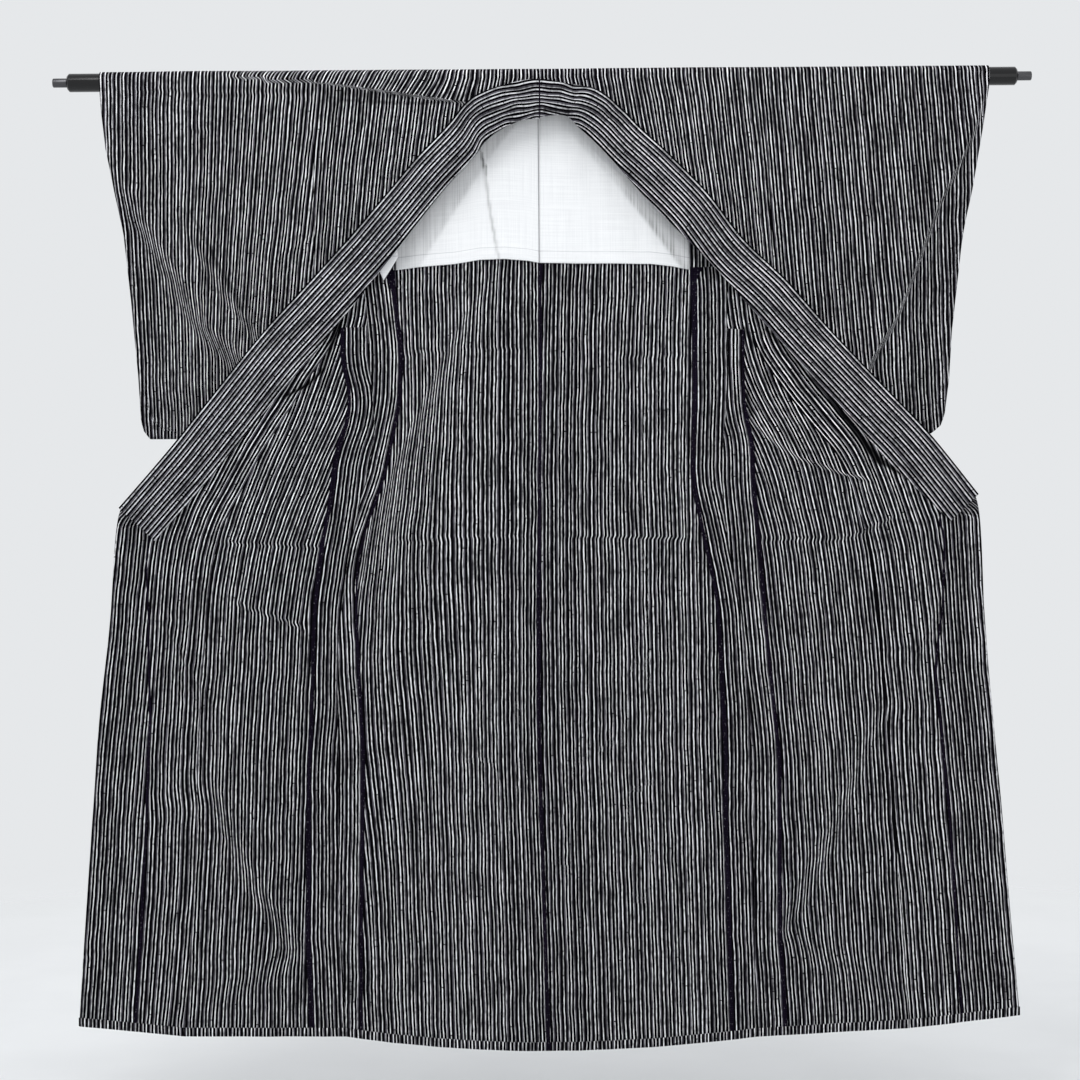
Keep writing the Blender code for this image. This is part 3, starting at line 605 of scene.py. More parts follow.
def body_sheet(side, u, v):
    """Shoulder and back in one length: v runs from the shoulder's lower end over the rod to the hem."""
    if v < SHOULDER_SHARE:
        return shoulder_point(side, u, (1 - v / SHOULDER_SHARE) ** 1.5)
    v -= SHOULDER_SHARE
    x = back_point(side, u, 0).x
    if v < ARC_SHARE:
        return over_rod(x, 1 - v / ARC_SHARE, -1)
    v -= ARC_SHARE
    if v < ARC_SHARE:
        return over_rod(x, v / ARC_SHARE, 1)
    v -= ARC_SHARE
    return back_point(side, u, v / (1 - SHOULDER_SHARE - 2 * ARC_SHARE) * BACK_LAST)


def back_sheet(side, u, v):
    """The back alone, from the rod to the hem."""
    return back_point(side, u, v * BACK_LAST)


def front_row(side, row):
    """One weft line of an opened front as three points: side seam, overlap seam and edge."""
    weft = along(FRONT[side], row)
    seam = along(BACK_EDGE[side], row + ARMPIT_ROW)
    return (
        Vector((seam.x, seam.y, seam.z)),
        Vector((weft.okumi_x, weft.okumi_y, weft.okumi_z)),
        Vector((weft.edge_x, weft.edge_y, weft.edge_z)),
    )


def pushed(side, point, fade):
    """A front's point with its folds, sunk where a gap opens."""
    sunk = 5 * gap_shade("okumi_" + side, point.x, point.z)
    return point - Vector((0, fade * (relief("front_" + side, point.x, point.z) - sunk), 0))


def front_sheet(side, u, v):
    """The opened front, from the side seam to the overlap seam."""
    seam, okumi, _ = front_row(side, v * FRONT_LAST)
    return pushed(side, seam.lerp(okumi, u), smooth(u / 0.2))


# Down to this row the overlap panel's outer edge lies smooth under the collar
UNDER_COLLAR_ROW = 6


def okumi_sheet(side, u, v):
    """The overlap panel, from its seam to its outer edge."""
    row = v * FRONT_LAST
    _, okumi, edge = front_row(side, row)
    return pushed(side, okumi.lerp(edge, u), 1 - smooth((row - UNDER_COLLAR_ROW) / -2) * smooth(u))


def sleeve_half_depth(side, x, z):
    """Half the space between a sleeve's front and back, which close at the sewn edges."""
    from_cuff = abs(at_height(CUFF[side], z) - x)
    sewn = smooth((-z - ARMHOLE_DEPTH + 70) / 70)
    at_cuff = 1 - sewn * (1 - smooth(from_cuff / SLEEVE_PINCH))
    at_bottom = smooth((z - SLEEVE_BOTTOM) / SLEEVE_PINCH)
    return SLEEVE_EDGE_HALF_DEPTH + (half_depth(z) - SLEEVE_EDGE_HALF_DEPTH) * at_cuff * at_bottom


SLEEVE_BOTTOM = -535.0
SLEEVE_ROWS = 90
SLEEVE_ARC = 10


def sleeve_row(station):
    """Where a station round a sleeve lies: its height, and whether it is front, over the rod or back."""
    if station <= SLEEVE_ROWS:
        return SLEEVE_BOTTOM * (1 - station / SLEEVE_ROWS), "front"
    if station < SLEEVE_ROWS + SLEEVE_ARC:
        return (station - SLEEVE_ROWS) / SLEEVE_ARC, "over"
    return SLEEVE_BOTTOM * (station - SLEEVE_ROWS - SLEEVE_ARC) / SLEEVE_ROWS, "back"


def sleeve_point(side, u, station):
    """A point of the sleeve: u runs from the armhole to the cuff, station round its section."""
    z, place = sleeve_row(station)
    inner = at_height(ARMHOLE[side], 0 if place == "over" else z)
    x = inner + (at_height(CUFF[side], 0 if place == "over" else z) - inner) * u
    if place == "over":
        angle = math.pi * z
        return Vector((x, -HANG_RADIUS * math.cos(angle), hang_radius(x) * math.sin(angle)))
    half = sleeve_half_depth(side, x, z)
    middle = sleeve_middle(z)
    fade = smooth((half - SLEEVE_EDGE_HALF_DEPTH) / 5) * smooth(u / 0.15) * smooth(-z / 12)
    push = relief("sleeve_" + side, x, z) * fade
    if place == "front":
        return Vector((x, middle - half - push, z))
    y = middle + half - 0.5 * push
    if z > -ARMHOLE_DEPTH - 60:
        edge = along(BACK_SIDE[side], min(-z / 60, 5)).y + 0.6
        sewn = 1 - smooth(u * 8)
        y += (edge - y) * sewn * smooth((z + ARMHOLE_DEPTH + 60) / 60) * smooth(-z / 12)
    return Vector((x, y, z))


def collar_row(side, v):
    """The collar's free and sewn edge at a place along it; the bend at the centre is rounded."""
    other = "right" if side == "left" else "left"
    rows = [COLLAR[other][1]] + COLLAR[side]
    row = along(rows, 1 + v * (len(COLLAR[side]) - 1))
    return Vector((row.free_x, row.free_y, row.free_z)), Vector((row.sewn_x, row.sewn_y, row.sewn_z))


def raised(sheet, side, u, v, height):
    """A point of a piece that lies on a sheet's front: the sheet's own point, moved out."""
    near_u = u + NEAR if u < 0.5 else u - NEAR
    near_v = v + NEAR if v < 0.5 else v - NEAR
    point = sheet(side, u, v)
    out = (sheet(side, near_u, v) - point).cross(sheet(side, u, near_v) - point).normalized()
    if out.y > 0:
        out = -out
    return point + out * height


LYING_HEIGHT = 1.1
LINING_EDGE = (
    (-221, -282), (-185, -278), (-133, -274), (-95, -268), (-58, -267), (-23, -270), (-7, -273), (25, -274),
    (85, -275), (160, -276), (193, -280), (218, -285))
LINING_HEM_BAND = 17.0


def row_at_height(z):
    """The back's fractional row at a height of its centre seam."""
    for row in range(len(CENTRE) - 1):
        if z >= CENTRE[row + 1].z:
            return row + (CENTRE[row].z - z) / (CENTRE[row].z - CENTRE[row + 1].z)
    return len(CENTRE) - 1


def lining_hem(x):
    """Height of the lining's uneven hem."""
    x = min(max(x, LINING_EDGE[0][0]), LINING_EDGE[-1][0])
    return line_height(LINING_EDGE, x)


def lining_sheet(side, u, v):
    """The yoke lining, from its side edge to the centre and from the rod to its hem."""
    row = 0.5 + v * (row_at_height(LINING_HEM) - 0.5)
    edge = back_point(side, 0, row)
    centre = back_point(side, 1, row)
    start = (LINING_SIDE[side] - edge.x) / (centre.x - edge.x)
    point = raised(lambda s, a, b: back_point(s, a, b * BACK_LAST), side,
                   start + (1 - start) * u, row / BACK_LAST, LYING_HEIGHT)
    point.z += v ** 3 * (lining_hem(point.x) - LINING_HEM)
    ditch = 1.0 * math.exp(-(abs(point.x - centre.x) / 2.0) ** 2)
    loose = 1.6 * noise.noise(Vector((point.x / 60, point.z / 90, 5.5))) + 1.2
    push = sum(crease_at(crease, point.x, point.z)[0] for crease in CREASES["lining_" + side])
    above = point.z - lining_hem(point.x)
    turned = 0.8 * smooth((LINING_HEM_BAND - above) / 1.5 + 0.5)
    point.y -= (push + loose * smooth(u * 5) * smooth((1 - u) * 8)) + turned * smooth((1 - u) * 30) - ditch
    return point


LINING_CORNER = ((-251, -275), (-239, -301), (-219, -248), (-217, -266))


def lining_corner_sheet(side, u, v):
    """The corner of the lining's front half, which peeps out under the collar on the left."""
    (ax, az), (bx, bz), (cx, cz), (dx, dz) = LINING_CORNER
    x = (ax + (bx - ax) * u) * (1 - v) + (cx + (dx - cx) * u) * v
    z = (az + (bz - az) * u) * (1 - v) + (cz + (dz - cz) * u) * v
    return Vector((x, -14.0 + 3.0 * u + 1.5 * math.sin(3 * v), z))


# Line on the lining from which it is shaded, up to the collar
LINING_SHADE = {
    "left": ((-46, -72), (-73, -105), (-85, -123), (-137, -201), (-188, -281)),
    "right": ((36, -55), (53, -91), (108, -153), (157, -215), (208, -284)),
}


def lining_shade(side, point):
    """Shade of the lining beside the collar, which stands off it, deepest along its own edge."""
    away, outside, _ = nearest_on(LINING_SHADE[side], point.x, point.z)
    inside_strip = away if outside == (side == "left") else -away
    low = smooth((-point.z - 130) / 100)
    deep = 0.12 if side == "left" else 0.08 + 0.12 * low
    rim = (0.06 if side == "left" else 0.02 + 0.22 * low) * math.exp(-(away / 11) ** 2)
    strip = (deep + rim) * smooth(0.5 + inside_strip / 7)
    return max(strip, gap_shade("lining_" + side, point.x, point.z))


# Selvage of each turned-in edge beside the side seams: its distance from the centre at a height
SELVAGE_LINE = {
    "back_left": table(SeamRow,
        (-289, 224), (-413, 210), (-488, 215), (-598, 239), (-681, 271), (-734, 282), (-812, 282),
        (-1019, 272), (-1277, 278), (-1421, 279)),
    "back_right": table(SeamRow,
        (-284, 220), (-356, 222), (-472, 221), (-602, 217), (-783, 254), (-1023, 265), (-1108, 263),
        (-1252, 267), (-1425, 271)),
    "front_left": table(SeamRow,
        (-431, 304), (-470, 292), (-520, 297), (-560, 314), (-629, 323), (-715, 339), (-803, 350),
        (-927, 354), (-1017, 360), (-1274, 364), (-1414, 359)),
    "front_right": table(SeamRow,
        (-387, 299), (-496, 300), (-551, 314), (-603, 314), (-843, 334), (-1022, 351), (-1279, 349),
        (-1366, 354), (-1420, 357)),
}


def softly(rows, z):
    """The second column of a table at a height, eased round its rows."""
    return sum(at_height(rows, z + step) for step in (-20, -10, 0, 10, 20)) / 5


# The row of its panel from which each turned-in edge shows
BACK_ALLOWANCE_ROW = 5
FRONT_ALLOWANCE_ROW = 0.75
EDGE_TURNING_ROW = 6.0


def turned_height(u):
    """A turned-in edge rises from its fold to lie on its panel."""
    return LYING_HEIGHT * smooth(0.15 + u * 8)


def back_allowance_sheet(side, u, v):
    """The turned-in edge of the back along its side seam."""
    row = BACK_ALLOWANCE_ROW + v * (BACK_LAST - BACK_ALLOWANCE_ROW)
    edge = back_point(side, 0, row)
    wide = abs(back_point(side, 1, row).x - edge.x)
    reach = (abs(edge.x) - softly(SELVAGE_LINE["back_" + side], edge.z)) / wide
    return raised(back_sheet, side, u * reach, row / BACK_LAST, turned_height(u))


def front_allowance_sheet(side, u, v):
    """The turned-in edge of the front along its side seam."""
    row = FRONT_ALLOWANCE_ROW + v * (FRONT_LAST - FRONT_ALLOWANCE_ROW)
    seam, okumi, _ = front_row(side, row)
    wide = abs(okumi.x) - abs(seam.x)
    reach = min((softly(SELVAGE_LINE["front_" + side], seam.z) - abs(seam.x)) / wide, 0.96)
    return raised(front_sheet, side, u * reach, row / FRONT_LAST, turned_height(u))


def edge_turning_sheet(side, u, v):
    """The turned-in outer edge of the overlap panel."""
    row = EDGE_TURNING_ROW + v * (FRONT_LAST - EDGE_TURNING_ROW)
    _, okumi, edge = front_row(side, row)
    reach = min(at_height(EDGE_TURNING[side], edge.z) / (edge - okumi).length, MOST_REACH)
    reach *= 0.12 + 0.88 * smooth((row - EDGE_TURNING_ROW) / 0.9)
    return raised(okumi_sheet, side, 1 - u * reach, row / FRONT_LAST, turned_height(u))


def mesh_piece(name, points, faces, uvs, wall, finishes, marked=(), shades=None):
    """An object from points in millimetres, faces and cloth coordinates in millimetres."""
    mesh = bpy.data.meshes.new(name)
    mesh.from_pydata([point * MM for point in points], [], faces)
    layer = mesh.uv_layers.new(name="cloth")
    flat = []
    for loop in mesh.loops:
        flat.extend(coordinate * MM for coordinate in uvs[loop.vertex_index])
    layer.data.foreach_set("uv", flat)
    shade = mesh.attributes.new("shade", "FLOAT", "POINT")
    shade.data.foreach_set("value", shades or [0.0] * len(points))
    for finish in finishes:
        mesh.materials.append(finish)
    for face, finish in marked:
        mesh.polygons[face].material_index = finish
    mesh.shade_smooth()
    piece = bpy.data.objects.new(name, mesh)
    bpy.context.scene.collection.objects.link(piece)
    if wall:
        solidify = piece.modifiers.new("wall", "SOLIDIFY")
        solidify.thickness = wall
        solidify.offset = 0
    return piece


def grid_faces(columns, rows):
    """Faces of a grid whose points run row by row."""
    faces = []
    for row in range(rows):
        for column in range(columns):
            a = row * (columns + 1) + column
            faces.append((a, a + 1, a + columns + 2, a + columns + 1))
    return faces


# A turned-up hem: the start of its fold, as height over the lower edge and distance in front of it,
# and how far its stripes stand beside the sheet's own
HEM_FOLD = ((-0.4, 1.0), (0.6, 2.1))
HEM_STRIPE_SHIFT = 2.6


def sheet_piece(name, side, sheet, places, rows, cloth, finishes, wall, turn_up=0.0, marked_columns=(),
                shade=None, marked_from=0):
    """A cloth piece from its sheet function, with its hem turned up on the inside."""
    columns = len(places) - 1
    points = []
    uvs = []
    for row in range(rows + 1):
        for u in places:
            v = row / rows
            point = sheet(side, u, v)
            points.append(point)
            uvs.append(cloth(side, u, v, point))
    if turn_up:
        first = rows * (columns + 1)
        for height, out in (*HEM_FOLD, (turn_up * 0.5, 2.2), (turn_up, 2.1)):
            for column in range(columns + 1):
                points.append(points[first + column] + Vector((0, -out, height)))
                a, b = uvs[first + column]
                uvs.append((a + HEM_STRIPE_SHIFT, b + height))
        rows += 4
    marked = [(row * columns + column % columns, 1)
              for row in range(marked_from, rows) for column in marked_columns]
    shades = [shade(side, point) for point in points] if shade else None
    return mesh_piece(name, points, grid_faces(columns, rows), uvs, wall, finishes, marked, shades)


def even(columns, start=0.0, end=1.0):
    """Evenly spaced places across a sheet."""
    return [start + (end - start) * column / columns for column in range(columns + 1)]


# Length of cloth from the rod's top to its level, and the crease along the top on the left
TOP_RUN = HANG_RADIUS * math.pi / 2
TOP_CREASE = ((-495, 7), (-449, 3), (-392, -2), (-320, -7), (-183, -28), (-102, -39))


def cloth_run(point):
    """How far down the cloth a point lies from the rod's top: negative behind the rod."""
    if point.z < 0:
        return math.copysign(TOP_RUN - point.z, -point.y)
    return HANG_RADIUS * math.atan2(-point.y, point.z)


def top_slant(x, run):
    """How far the stripes slant where the cloth is dragged along the rod's top on the left."""
    height = line_height(TOP_CREASE, x)
    if height is None:
        return 0.0
    fade = smooth((x - TOP_CREASE[0][0]) / 70) * smooth((TOP_CREASE[-1][0] + 20 - x) / 130)
    below = run - (TOP_RUN - height)
    return 0.44 * max(run, 0) * fade * (1 - smooth(below / 1.5 + 0.5))


def body_cloth(side, u, v, point):
    """Cloth coordinates of the body: stripes run down, and lean outwards at the shoulders."""
    run = cloth_run(point)
    if v < SHOULDER_SHARE + 2 * ARC_SHARE:
        near_neck = 1 - abs(point.x) / 342
        lean = (0.09 + 0.15 * near_neck) * min(point.z, 0)
        slant = top_slant(point.x, run) if side == "left" else 0.0
        return point.x + SIGN[side] * lean + slant, run
    row = (v - SHOULDER_SHARE - 2 * ARC_SHARE) / (1 - SHOULDER_SHARE - 2 * ARC_SHARE) * BACK_LAST
    centre = along(CENTRE, row)
    lower = smooth((row - 6) / 4)
    across = (1 - 0.1 * lower) * (point.x - centre.x) + 0.1 * lower * SIGN[side] * 305 * (1 - u)
    return across + drawn("back_" + side, point.x, point.z), run


# Each cloth's own coordinates start at its own distance across, in mm, so that no two share their stripes
FRONT_CLOTH = 500
OKUMI_CLOTH = 900
SLEEVE_CLOTH = 1300
COLLAR_CLOTH = 1800
LINING_CLOTH = 2600
TURNED_CLOTH = 2900

OKUMI_LINE = {side: [SeamRow(row.okumi_z, abs(row.okumi_x)) for row in FRONT[side]] for side in SIDES}
EDGE_LINE = {side: [SeamRow(row.edge_z, abs(row.edge_x)) for row in FRONT[side]] for side in SIDES}


def stripe_line(side, z):
    """Distance from the centre of a line that the front's stripes run beside."""
    total = 0.0
    for step in (-36, -18, 0, 18, 36):
        seam = at_height(OKUMI_LINE[side], z + step)
        selvage = at_height(SELVAGE_LINE["front_" + side], z + step)
        total += 0.6 * seam + 0.4 * selvage
    return total / 5


def front_cloth(side, u, v, point):
    """Cloth coordinates of the front: its stripes lean out below the collar with its seams."""
    across = point.x - SIGN[side] * stripe_line(side, point.z)
    return FRONT_CLOTH + across + drawn("front_" + side, point.x, point.z), point.z


def okumi_cloth(side, u, v, point):
    """Cloth coordinates of the overlap panel: stripes follow its seam."""
    row = v * FRONT_LAST
    _, okumi, _ = front_row(side, row)
    ahead = front_row(side, min(row + 0.1, FRONT_LAST))[1]
    behind = front_row(side, max(row - 0.1, 0))[1]
    down = (ahead - behind).normalized()
    offset = point - okumi
    offset.y = 0
    across = (offset - down * offset.dot(down)).length
    return OKUMI_CLOTH + SIGN[side] * across + drawn("front_" + side, point.x, point.z), point.z


def sleeve_cloth(side, point):
    """Cloth coordinates of the sleeve: stripes run down, and are drawn along its creases."""
    run = cloth_run(point)
    down = max(-point.z, 0)
    if side == "left":
        lean = 0.09 * down * smooth((point.x + 610) / 260) + top_slant(point.x, run)
    else:
        lean = -0.085 * down
    return SLEEVE_CLOTH + point.x + lean + drawn("sleeve_" + side, point.x, point.z), run


def plain_cloth(side, u, v, point):
    """Cloth coordinates of the lining, from the centre seam and its hem."""
    return LINING_CLOTH + point.x, point.z - lining_hem(point.x)


def turned_cloth(lines):
    """Cloth coordinates of turned-in edges: stripes run beside the lines, one for each side."""
    def cloth(side, u, v, point):
        return TURNED_CLOTH + point.x - SIGN[side] * softly(lines[side], point.z), point.z
    return cloth


def add_sleeve(side, finish, wall):
    """A sleeve: a loop of cloth over the rod, sewn along its bottom and the lower cuff edge."""
    columns = 110
    stations = 2 * SLEEVE_ROWS + SLEEVE_ARC
    points = []
    uvs = []
    shades = []
    for station in range(stations + 1):
        for column in range(columns + 1):
            point = sleeve_point(side, column / columns, station)
            points.append(point)
            uvs.append(sleeve_cloth(side, point))
            in_front = station <= SLEEVE_ROWS + SLEEVE_ARC // 2
            shades.append(gap_shade("sleeve_" + side, point.x, point.z) if in_front else 0.0)
    faces = grid_faces(columns, stations)
    last = stations * (columns + 1)
    for column in range(columns):
        faces.append((last + column, last + column + 1, column + 1, column))
    for low in range(SLEEVE_ROWS):
        if sleeve_row(low + 1)[0] > -ARMHOLE_DEPTH:
            break
        front = low * (columns + 1) + columns
        back = (stations - low) * (columns + 1) + columns
        faces.append((front, front + columns + 1, back - columns - 1, back))
    return mesh_piece("sleeve_cloth_" + side, points, faces, uvs, wall, [finish], (), shades)


def collar_section():
    """Places round the folded band: share across it and height over its middle."""
    half = 1.4
    front = [(0.004, 0.5), (0.012, 1.0)] + [(share / 20, half) for share in range(1, 20)]
    front += [(0.988, 1.0), (0.996, 0.5)]
    back = [(share, -height) for share, height in reversed(front)]
    return front + back


def add_collar(side, finishes):
    """The collar: a folded band, closed all round, from the centre back to its end."""
    rows = 260
    section = collar_section()
    points = []
    uvs = []
    shades = []
    length = 0.0
    before = None
    for row in range(rows + 1):
        v = (row / rows) ** 1.25
        free, sewn = collar_row(side, v)
        middle = free.lerp(sewn, 0.5)
        if before is not None:
            length += (middle - before).length
        before = middle
        wide = (sewn - free).length
        ditch = 1.3 * math.exp(-((length / 3.0) ** 2))
        for u, out in section:
            point = free.lerp(sewn, u)
            push = sum(crease_at(crease, point.x, point.z)[0] for crease in CREASES["collar_" + side])
            push += 0.9 * noise.noise(Vector((length / 45, u * 1.5, 6.1))) * smooth(length / 20) - ditch
            point.y -= COLLAR_BULGE * math.sin(math.pi * u) + out + (push if out > 0 else 0)
            wave = 3.4 * noise.noise(Vector((point.x / 26, point.z / 22, 4.4))) * smooth(1 - length / 160)
            points.append(point)
            uvs.append((COLLAR_CLOTH + (u * wide + wave) * (1 if out > 0 else -1), length))
            shades.append(gap_shade("collar_" + side, point.x, point.z) if out > 0 else 0.0)
    around = len(section)
    faces = []
    for row in range(rows):
        for place in range(around):
            a = row * around + place
            b = row * around + (place + 1) % around
            faces.append((a, b, b + around, a + around))
    faces.append(tuple(range(around - 1, -1, -1)))
    faces.append(tuple(range(rows * around, (rows + 1) * around)))
    if side == "right":
        faces = [tuple(reversed(face)) for face in faces]
    marked = [(place, 1) for place in range(around * 2)] + [(around * rows, 1)]
    return mesh_piece("collar_band_" + side, points, faces, uvs, 0, finishes, marked, shades)


class Maths:
    """Short names for the math nodes of one node tree."""

    def __init__(self, tree):
        self.tree = tree

    def feed(self, socket, value):
        if isinstance(value, (int, float)):
            socket.default_value = value
        else:
            self.tree.links.new(value, socket)

    def do(self, operation, *inputs):
        node = self.tree.nodes.new("ShaderNodeMath")
        node.operation = operation
        for place, value in enumerate(inputs):
            self.feed(node.inputs[place], value)
        return node.outputs[0]

    def step(self, value, low, high, out_low=0.0, out_high=1.0):
        node = self.tree.nodes.new("ShaderNodeMapRange")
        node.interpolation_type = "SMOOTHSTEP"
        for place, number in enumerate((value, low, high, out_low, out_high)):
            self.feed(node.inputs[place], number)
        return node.outputs[0]

    def combine(self, x, y, z=0.0):
        node = self.tree.nodes.new("ShaderNodeCombineXYZ")
        for place, value in enumerate((x, y, z)):
            self.feed(node.inputs[place], value)
        return node.outputs[0]

    def white(self, vector):
        node = self.tree.nodes.new("ShaderNodeTexWhiteNoise")
        node.noise_dimensions = "3D"
        self.tree.links.new(vector, node.inputs["Vector"])
        return node.outputs["Value"]

    def cloud(self, vector, scale, detail=1.0):
        node = self.tree.nodes.new("ShaderNodeTexNoise")
        self.tree.links.new(vector, node.inputs["Vector"])
        node.inputs["Scale"].default_value = scale
        node.inputs["Detail"].default_value = detail
        return node.outputs[0]

    def stretched(self, u, v, scale_u, scale_v, detail=1.0):
        """Noise over the cloth with its own scale across and along."""
        place = self.combine(self.do("MULTIPLY", u, scale_u), self.do("MULTIPLY", v, scale_v))
        return self.cloud(place, 1.0, detail)

    def mix(self, factor, first, second):
        node = self.tree.nodes.new("ShaderNodeMix")
        node.data_type = "RGBA"
        self.feed(node.inputs["Factor"], factor)
        for socket, value in (("A", first), ("B", second)):
            if isinstance(value, tuple):
                node.inputs[socket].default_value = value
            else:
                self.tree.links.new(value, node.inputs[socket])
        return node.outputs["Result"]

    def split(self, vector):
        node = self.tree.nodes.new("ShaderNodeSeparateXYZ")
        self.tree.links.new(vector, node.inputs[0])
        return node.outputs[0], node.outputs[1], node.outputs[2]


def new_group(name, inputs, outputs):
    """A shader node group with its sockets."""
    tree = bpy.data.node_groups.new(name, "ShaderNodeTree")
    for socket, kind, default in inputs:
        made = tree.interface.new_socket(socket, in_out="INPUT", socket_type=kind)
        if default is not None:
            made.default_value = default
    for socket, kind in outputs:
        tree.interface.new_socket(socket, in_out="OUTPUT", socket_type=kind)
    return tree, tree.nodes.new("NodeGroupInput"), tree.nodes.new("NodeGroupOutput")


def warp_stripes_group():
    """Warp stripes: thin white lines and wider grey and white pairs on near-black cotton."""
    if "warp_stripes" in bpy.data.node_groups:
        return bpy.data.node_groups["warp_stripes"]
    tree, given, out = new_group(
        "warp_stripes",
        (("Cloth", "NodeSocketVector", None), ("Pitch", "NodeSocketFloat", 0.0057),
         ("Thin Line", "NodeSocketFloat", 0.12), ("Wide Line", "NodeSocketFloat", 0.222),
         ("White Share", "NodeSocketFloat", 1.0), ("Waver", "NodeSocketFloat", 1.0),
         ("Dash", "NodeSocketFloat", 95.0),
         ("Ground", "NodeSocketColor", (0, 0, 0, 1)), ("Grey", "NodeSocketColor", (0.1, 0.1, 0.1, 1)),
         ("White", "NodeSocketColor", (1, 1, 1, 1))),
        (("Color", "NodeSocketColor"), ("Line", "NodeSocketFloat")))
    m = Maths(tree)
    u, v, _ = m.split(given.outputs["Cloth"])
    waver = 0.0
    for scale_u, scale_v, size in ((9, 11, 0.0040), (70, 40, 0.0015), (210, 75, 0.0011)):
        cloud = m.stretched(u, v, scale_u, scale_v)
        waver = m.do("ADD", waver, m.do("MULTIPLY", m.do("SUBTRACT", cloud, 0.5), size))
    waver = m.do("MULTIPLY", waver, given.outputs["Waver"])
    place = m.do("DIVIDE", m.do("ADD", u, waver), given.outputs["Pitch"])
    line = m.do("FLOOR", place)
    wide = m.do("FLOORED_MODULO", line, 2.0)
    pick, size, shift, turn = (m.white(m.combine(line, 0.37 * seed, seed)) for seed in (1.0, 2.0, 3.0, 4.0))
    wider = m.do("SUBTRACT", given.outputs["Wide Line"], given.outputs["Thin Line"])
    half = m.do("ADD", m.do("ADD", given.outputs["Thin Line"], m.do("MULTIPLY", wide, wider)),
                m.do("MULTIPLY", m.do("SUBTRACT", size, 0.5), m.do("MULTIPLY", given.outputs["Waver"], 0.06)))
    middle = m.do("ADD", 0.45, m.do("MULTIPLY", shift, m.do("MULTIPLY", given.outputs["Waver"], 0.10)))
    off = m.do("SUBTRACT", m.do("SUBTRACT", place, line), middle)
    inside = m.step(m.do("ABSOLUTE", off), m.do("SUBTRACT", half, 0.02), m.do("ADD", half, 0.02), 1.0, 0.0)
    facing = m.do("SUBTRACT", m.do("MULTIPLY", m.do("GREATER_THAN", turn, 0.5), 2.0), 1.0)
    lengthwise = m.stretched(line, v, 3.7, 19.0, 2.0)
    ragged = m.do("MULTIPLY", m.do("SUBTRACT", lengthwise, 0.5), 0.35)
    across = m.do("ADD", m.do("MULTIPLY", off, facing), ragged)
    white_line = m.do("LESS_THAN", pick, given.outputs["White Share"])
    whiteness = m.do("ADD", m.do("MULTIPLY", wide, m.step(across, 0.04, 0.08)),
                     m.do("MULTIPLY", m.do("SUBTRACT", 1.0, wide), white_line))
    groove = m.step(m.do("ABSOLUTE", m.do("SUBTRACT", across, 0.06)), 0.02, 0.05, 0.35, 1.0)
    grooved = m.do("ADD", m.do("MULTIPLY", wide, groove), m.do("SUBTRACT", 1.0, wide))
    short_runs = m.step(m.stretched(line, v, 5.1, given.outputs["Dash"], 2.0), 0.30, 0.58, 0.45, 1.0)
    passed_on = m.do("ADD", v, m.do("MULTIPLY", line, 0.013))
    long_runs = m.step(m.stretched(line, passed_on, 0.6, 18.0, 1.0), 0.32, 0.60, 0.5, 1.12)
    slub_across = m.do("FLOOR", m.do("DIVIDE", u, 0.0045))
    slub_down = m.do("FLOOR", m.do("DIVIDE", v, 0.0016))
    slub = m.white(m.combine(slub_across, slub_down, 5.0))
    strength = m.do("MULTIPLY", m.do("MULTIPLY", inside, m.do("MULTIPLY", short_runs, long_runs)),
                    m.do("MULTIPLY", grooved, m.do("LESS_THAN", slub, 0.996)))
    tone = m.mix(whiteness, given.outputs["Grey"], given.outputs["White"])
    tree.links.new(m.mix(strength, given.outputs["Ground"], tone), out.inputs["Color"])
    tree.links.new(strength, out.inputs["Line"])
    return tree


def plain_weave_group():
    """Crossing threads: their height and how much lighter or darker each thread is."""
    if "plain_weave" in bpy.data.node_groups:
        return bpy.data.node_groups["plain_weave"]
    tree, given, out = new_group(
        "plain_weave",
        (("Cloth", "NodeSocketVector", None), ("Warp Thread", "NodeSocketFloat", 0.0009),
         ("Weft Thread", "NodeSocketFloat", 0.0011)),
        (("Height", "NodeSocketFloat"), ("Thread", "NodeSocketFloat")))
    m = Maths(tree)
    u, v, _ = m.split(given.outputs["Cloth"])
    warp = m.do("SINE", m.do("DIVIDE", m.do("MULTIPLY", u, 2 * math.pi), given.outputs["Warp Thread"]))
    weft = m.do("SINE", m.do("DIVIDE", m.do("MULTIPLY", v, 2 * math.pi), given.outputs["Weft Thread"]))
    slubs = m.do("ADD", m.stretched(u, v, 700, 12, 2.0), m.stretched(u, v, 12, 600, 2.0))
    height = m.do("ADD", m.do("MULTIPLY", warp, weft), m.do("MULTIPLY", slubs, 1.2))
    tree.links.new(height, out.inputs["Height"])
    tree.links.new(m.step(slubs, 0.75, 1.25), out.inputs["Thread"])
    return tree


def cloth_finish(name, roughness):
    """A matt cotton: its material, its math nodes, its cloth coordinates and its weave."""
    material = bpy.data.materials.new(name)
    material.use_nodes = True
    tree = material.node_tree
    shader = tree.nodes["Principled BSDF"]
    shader.inputs["Roughness"].default_value = roughness
    shader.inputs["Specular IOR Level"].default_value = 0.02
    coordinates = tree.nodes.new("ShaderNodeUVMap")
    coordinates.uv_map = "cloth"
    weave = tree.nodes.new("ShaderNodeGroup")
    weave.node_tree = plain_weave_group()
    tree.links.new(coordinates.outputs["UV"], weave.inputs["Cloth"])
    bump = tree.nodes.new("ShaderNodeBump")
    bump.inputs["Strength"].default_value = 0.4
    bump.inputs["Distance"].default_value = 0.0003
    tree.links.new(weave.outputs["Height"], bump.inputs["Height"])
    tree.links.new(bump.outputs["Normal"], shader.inputs["Normal"])
    return material, Maths(tree), coordinates.outputs["UV"], weave.outputs["Thread"]


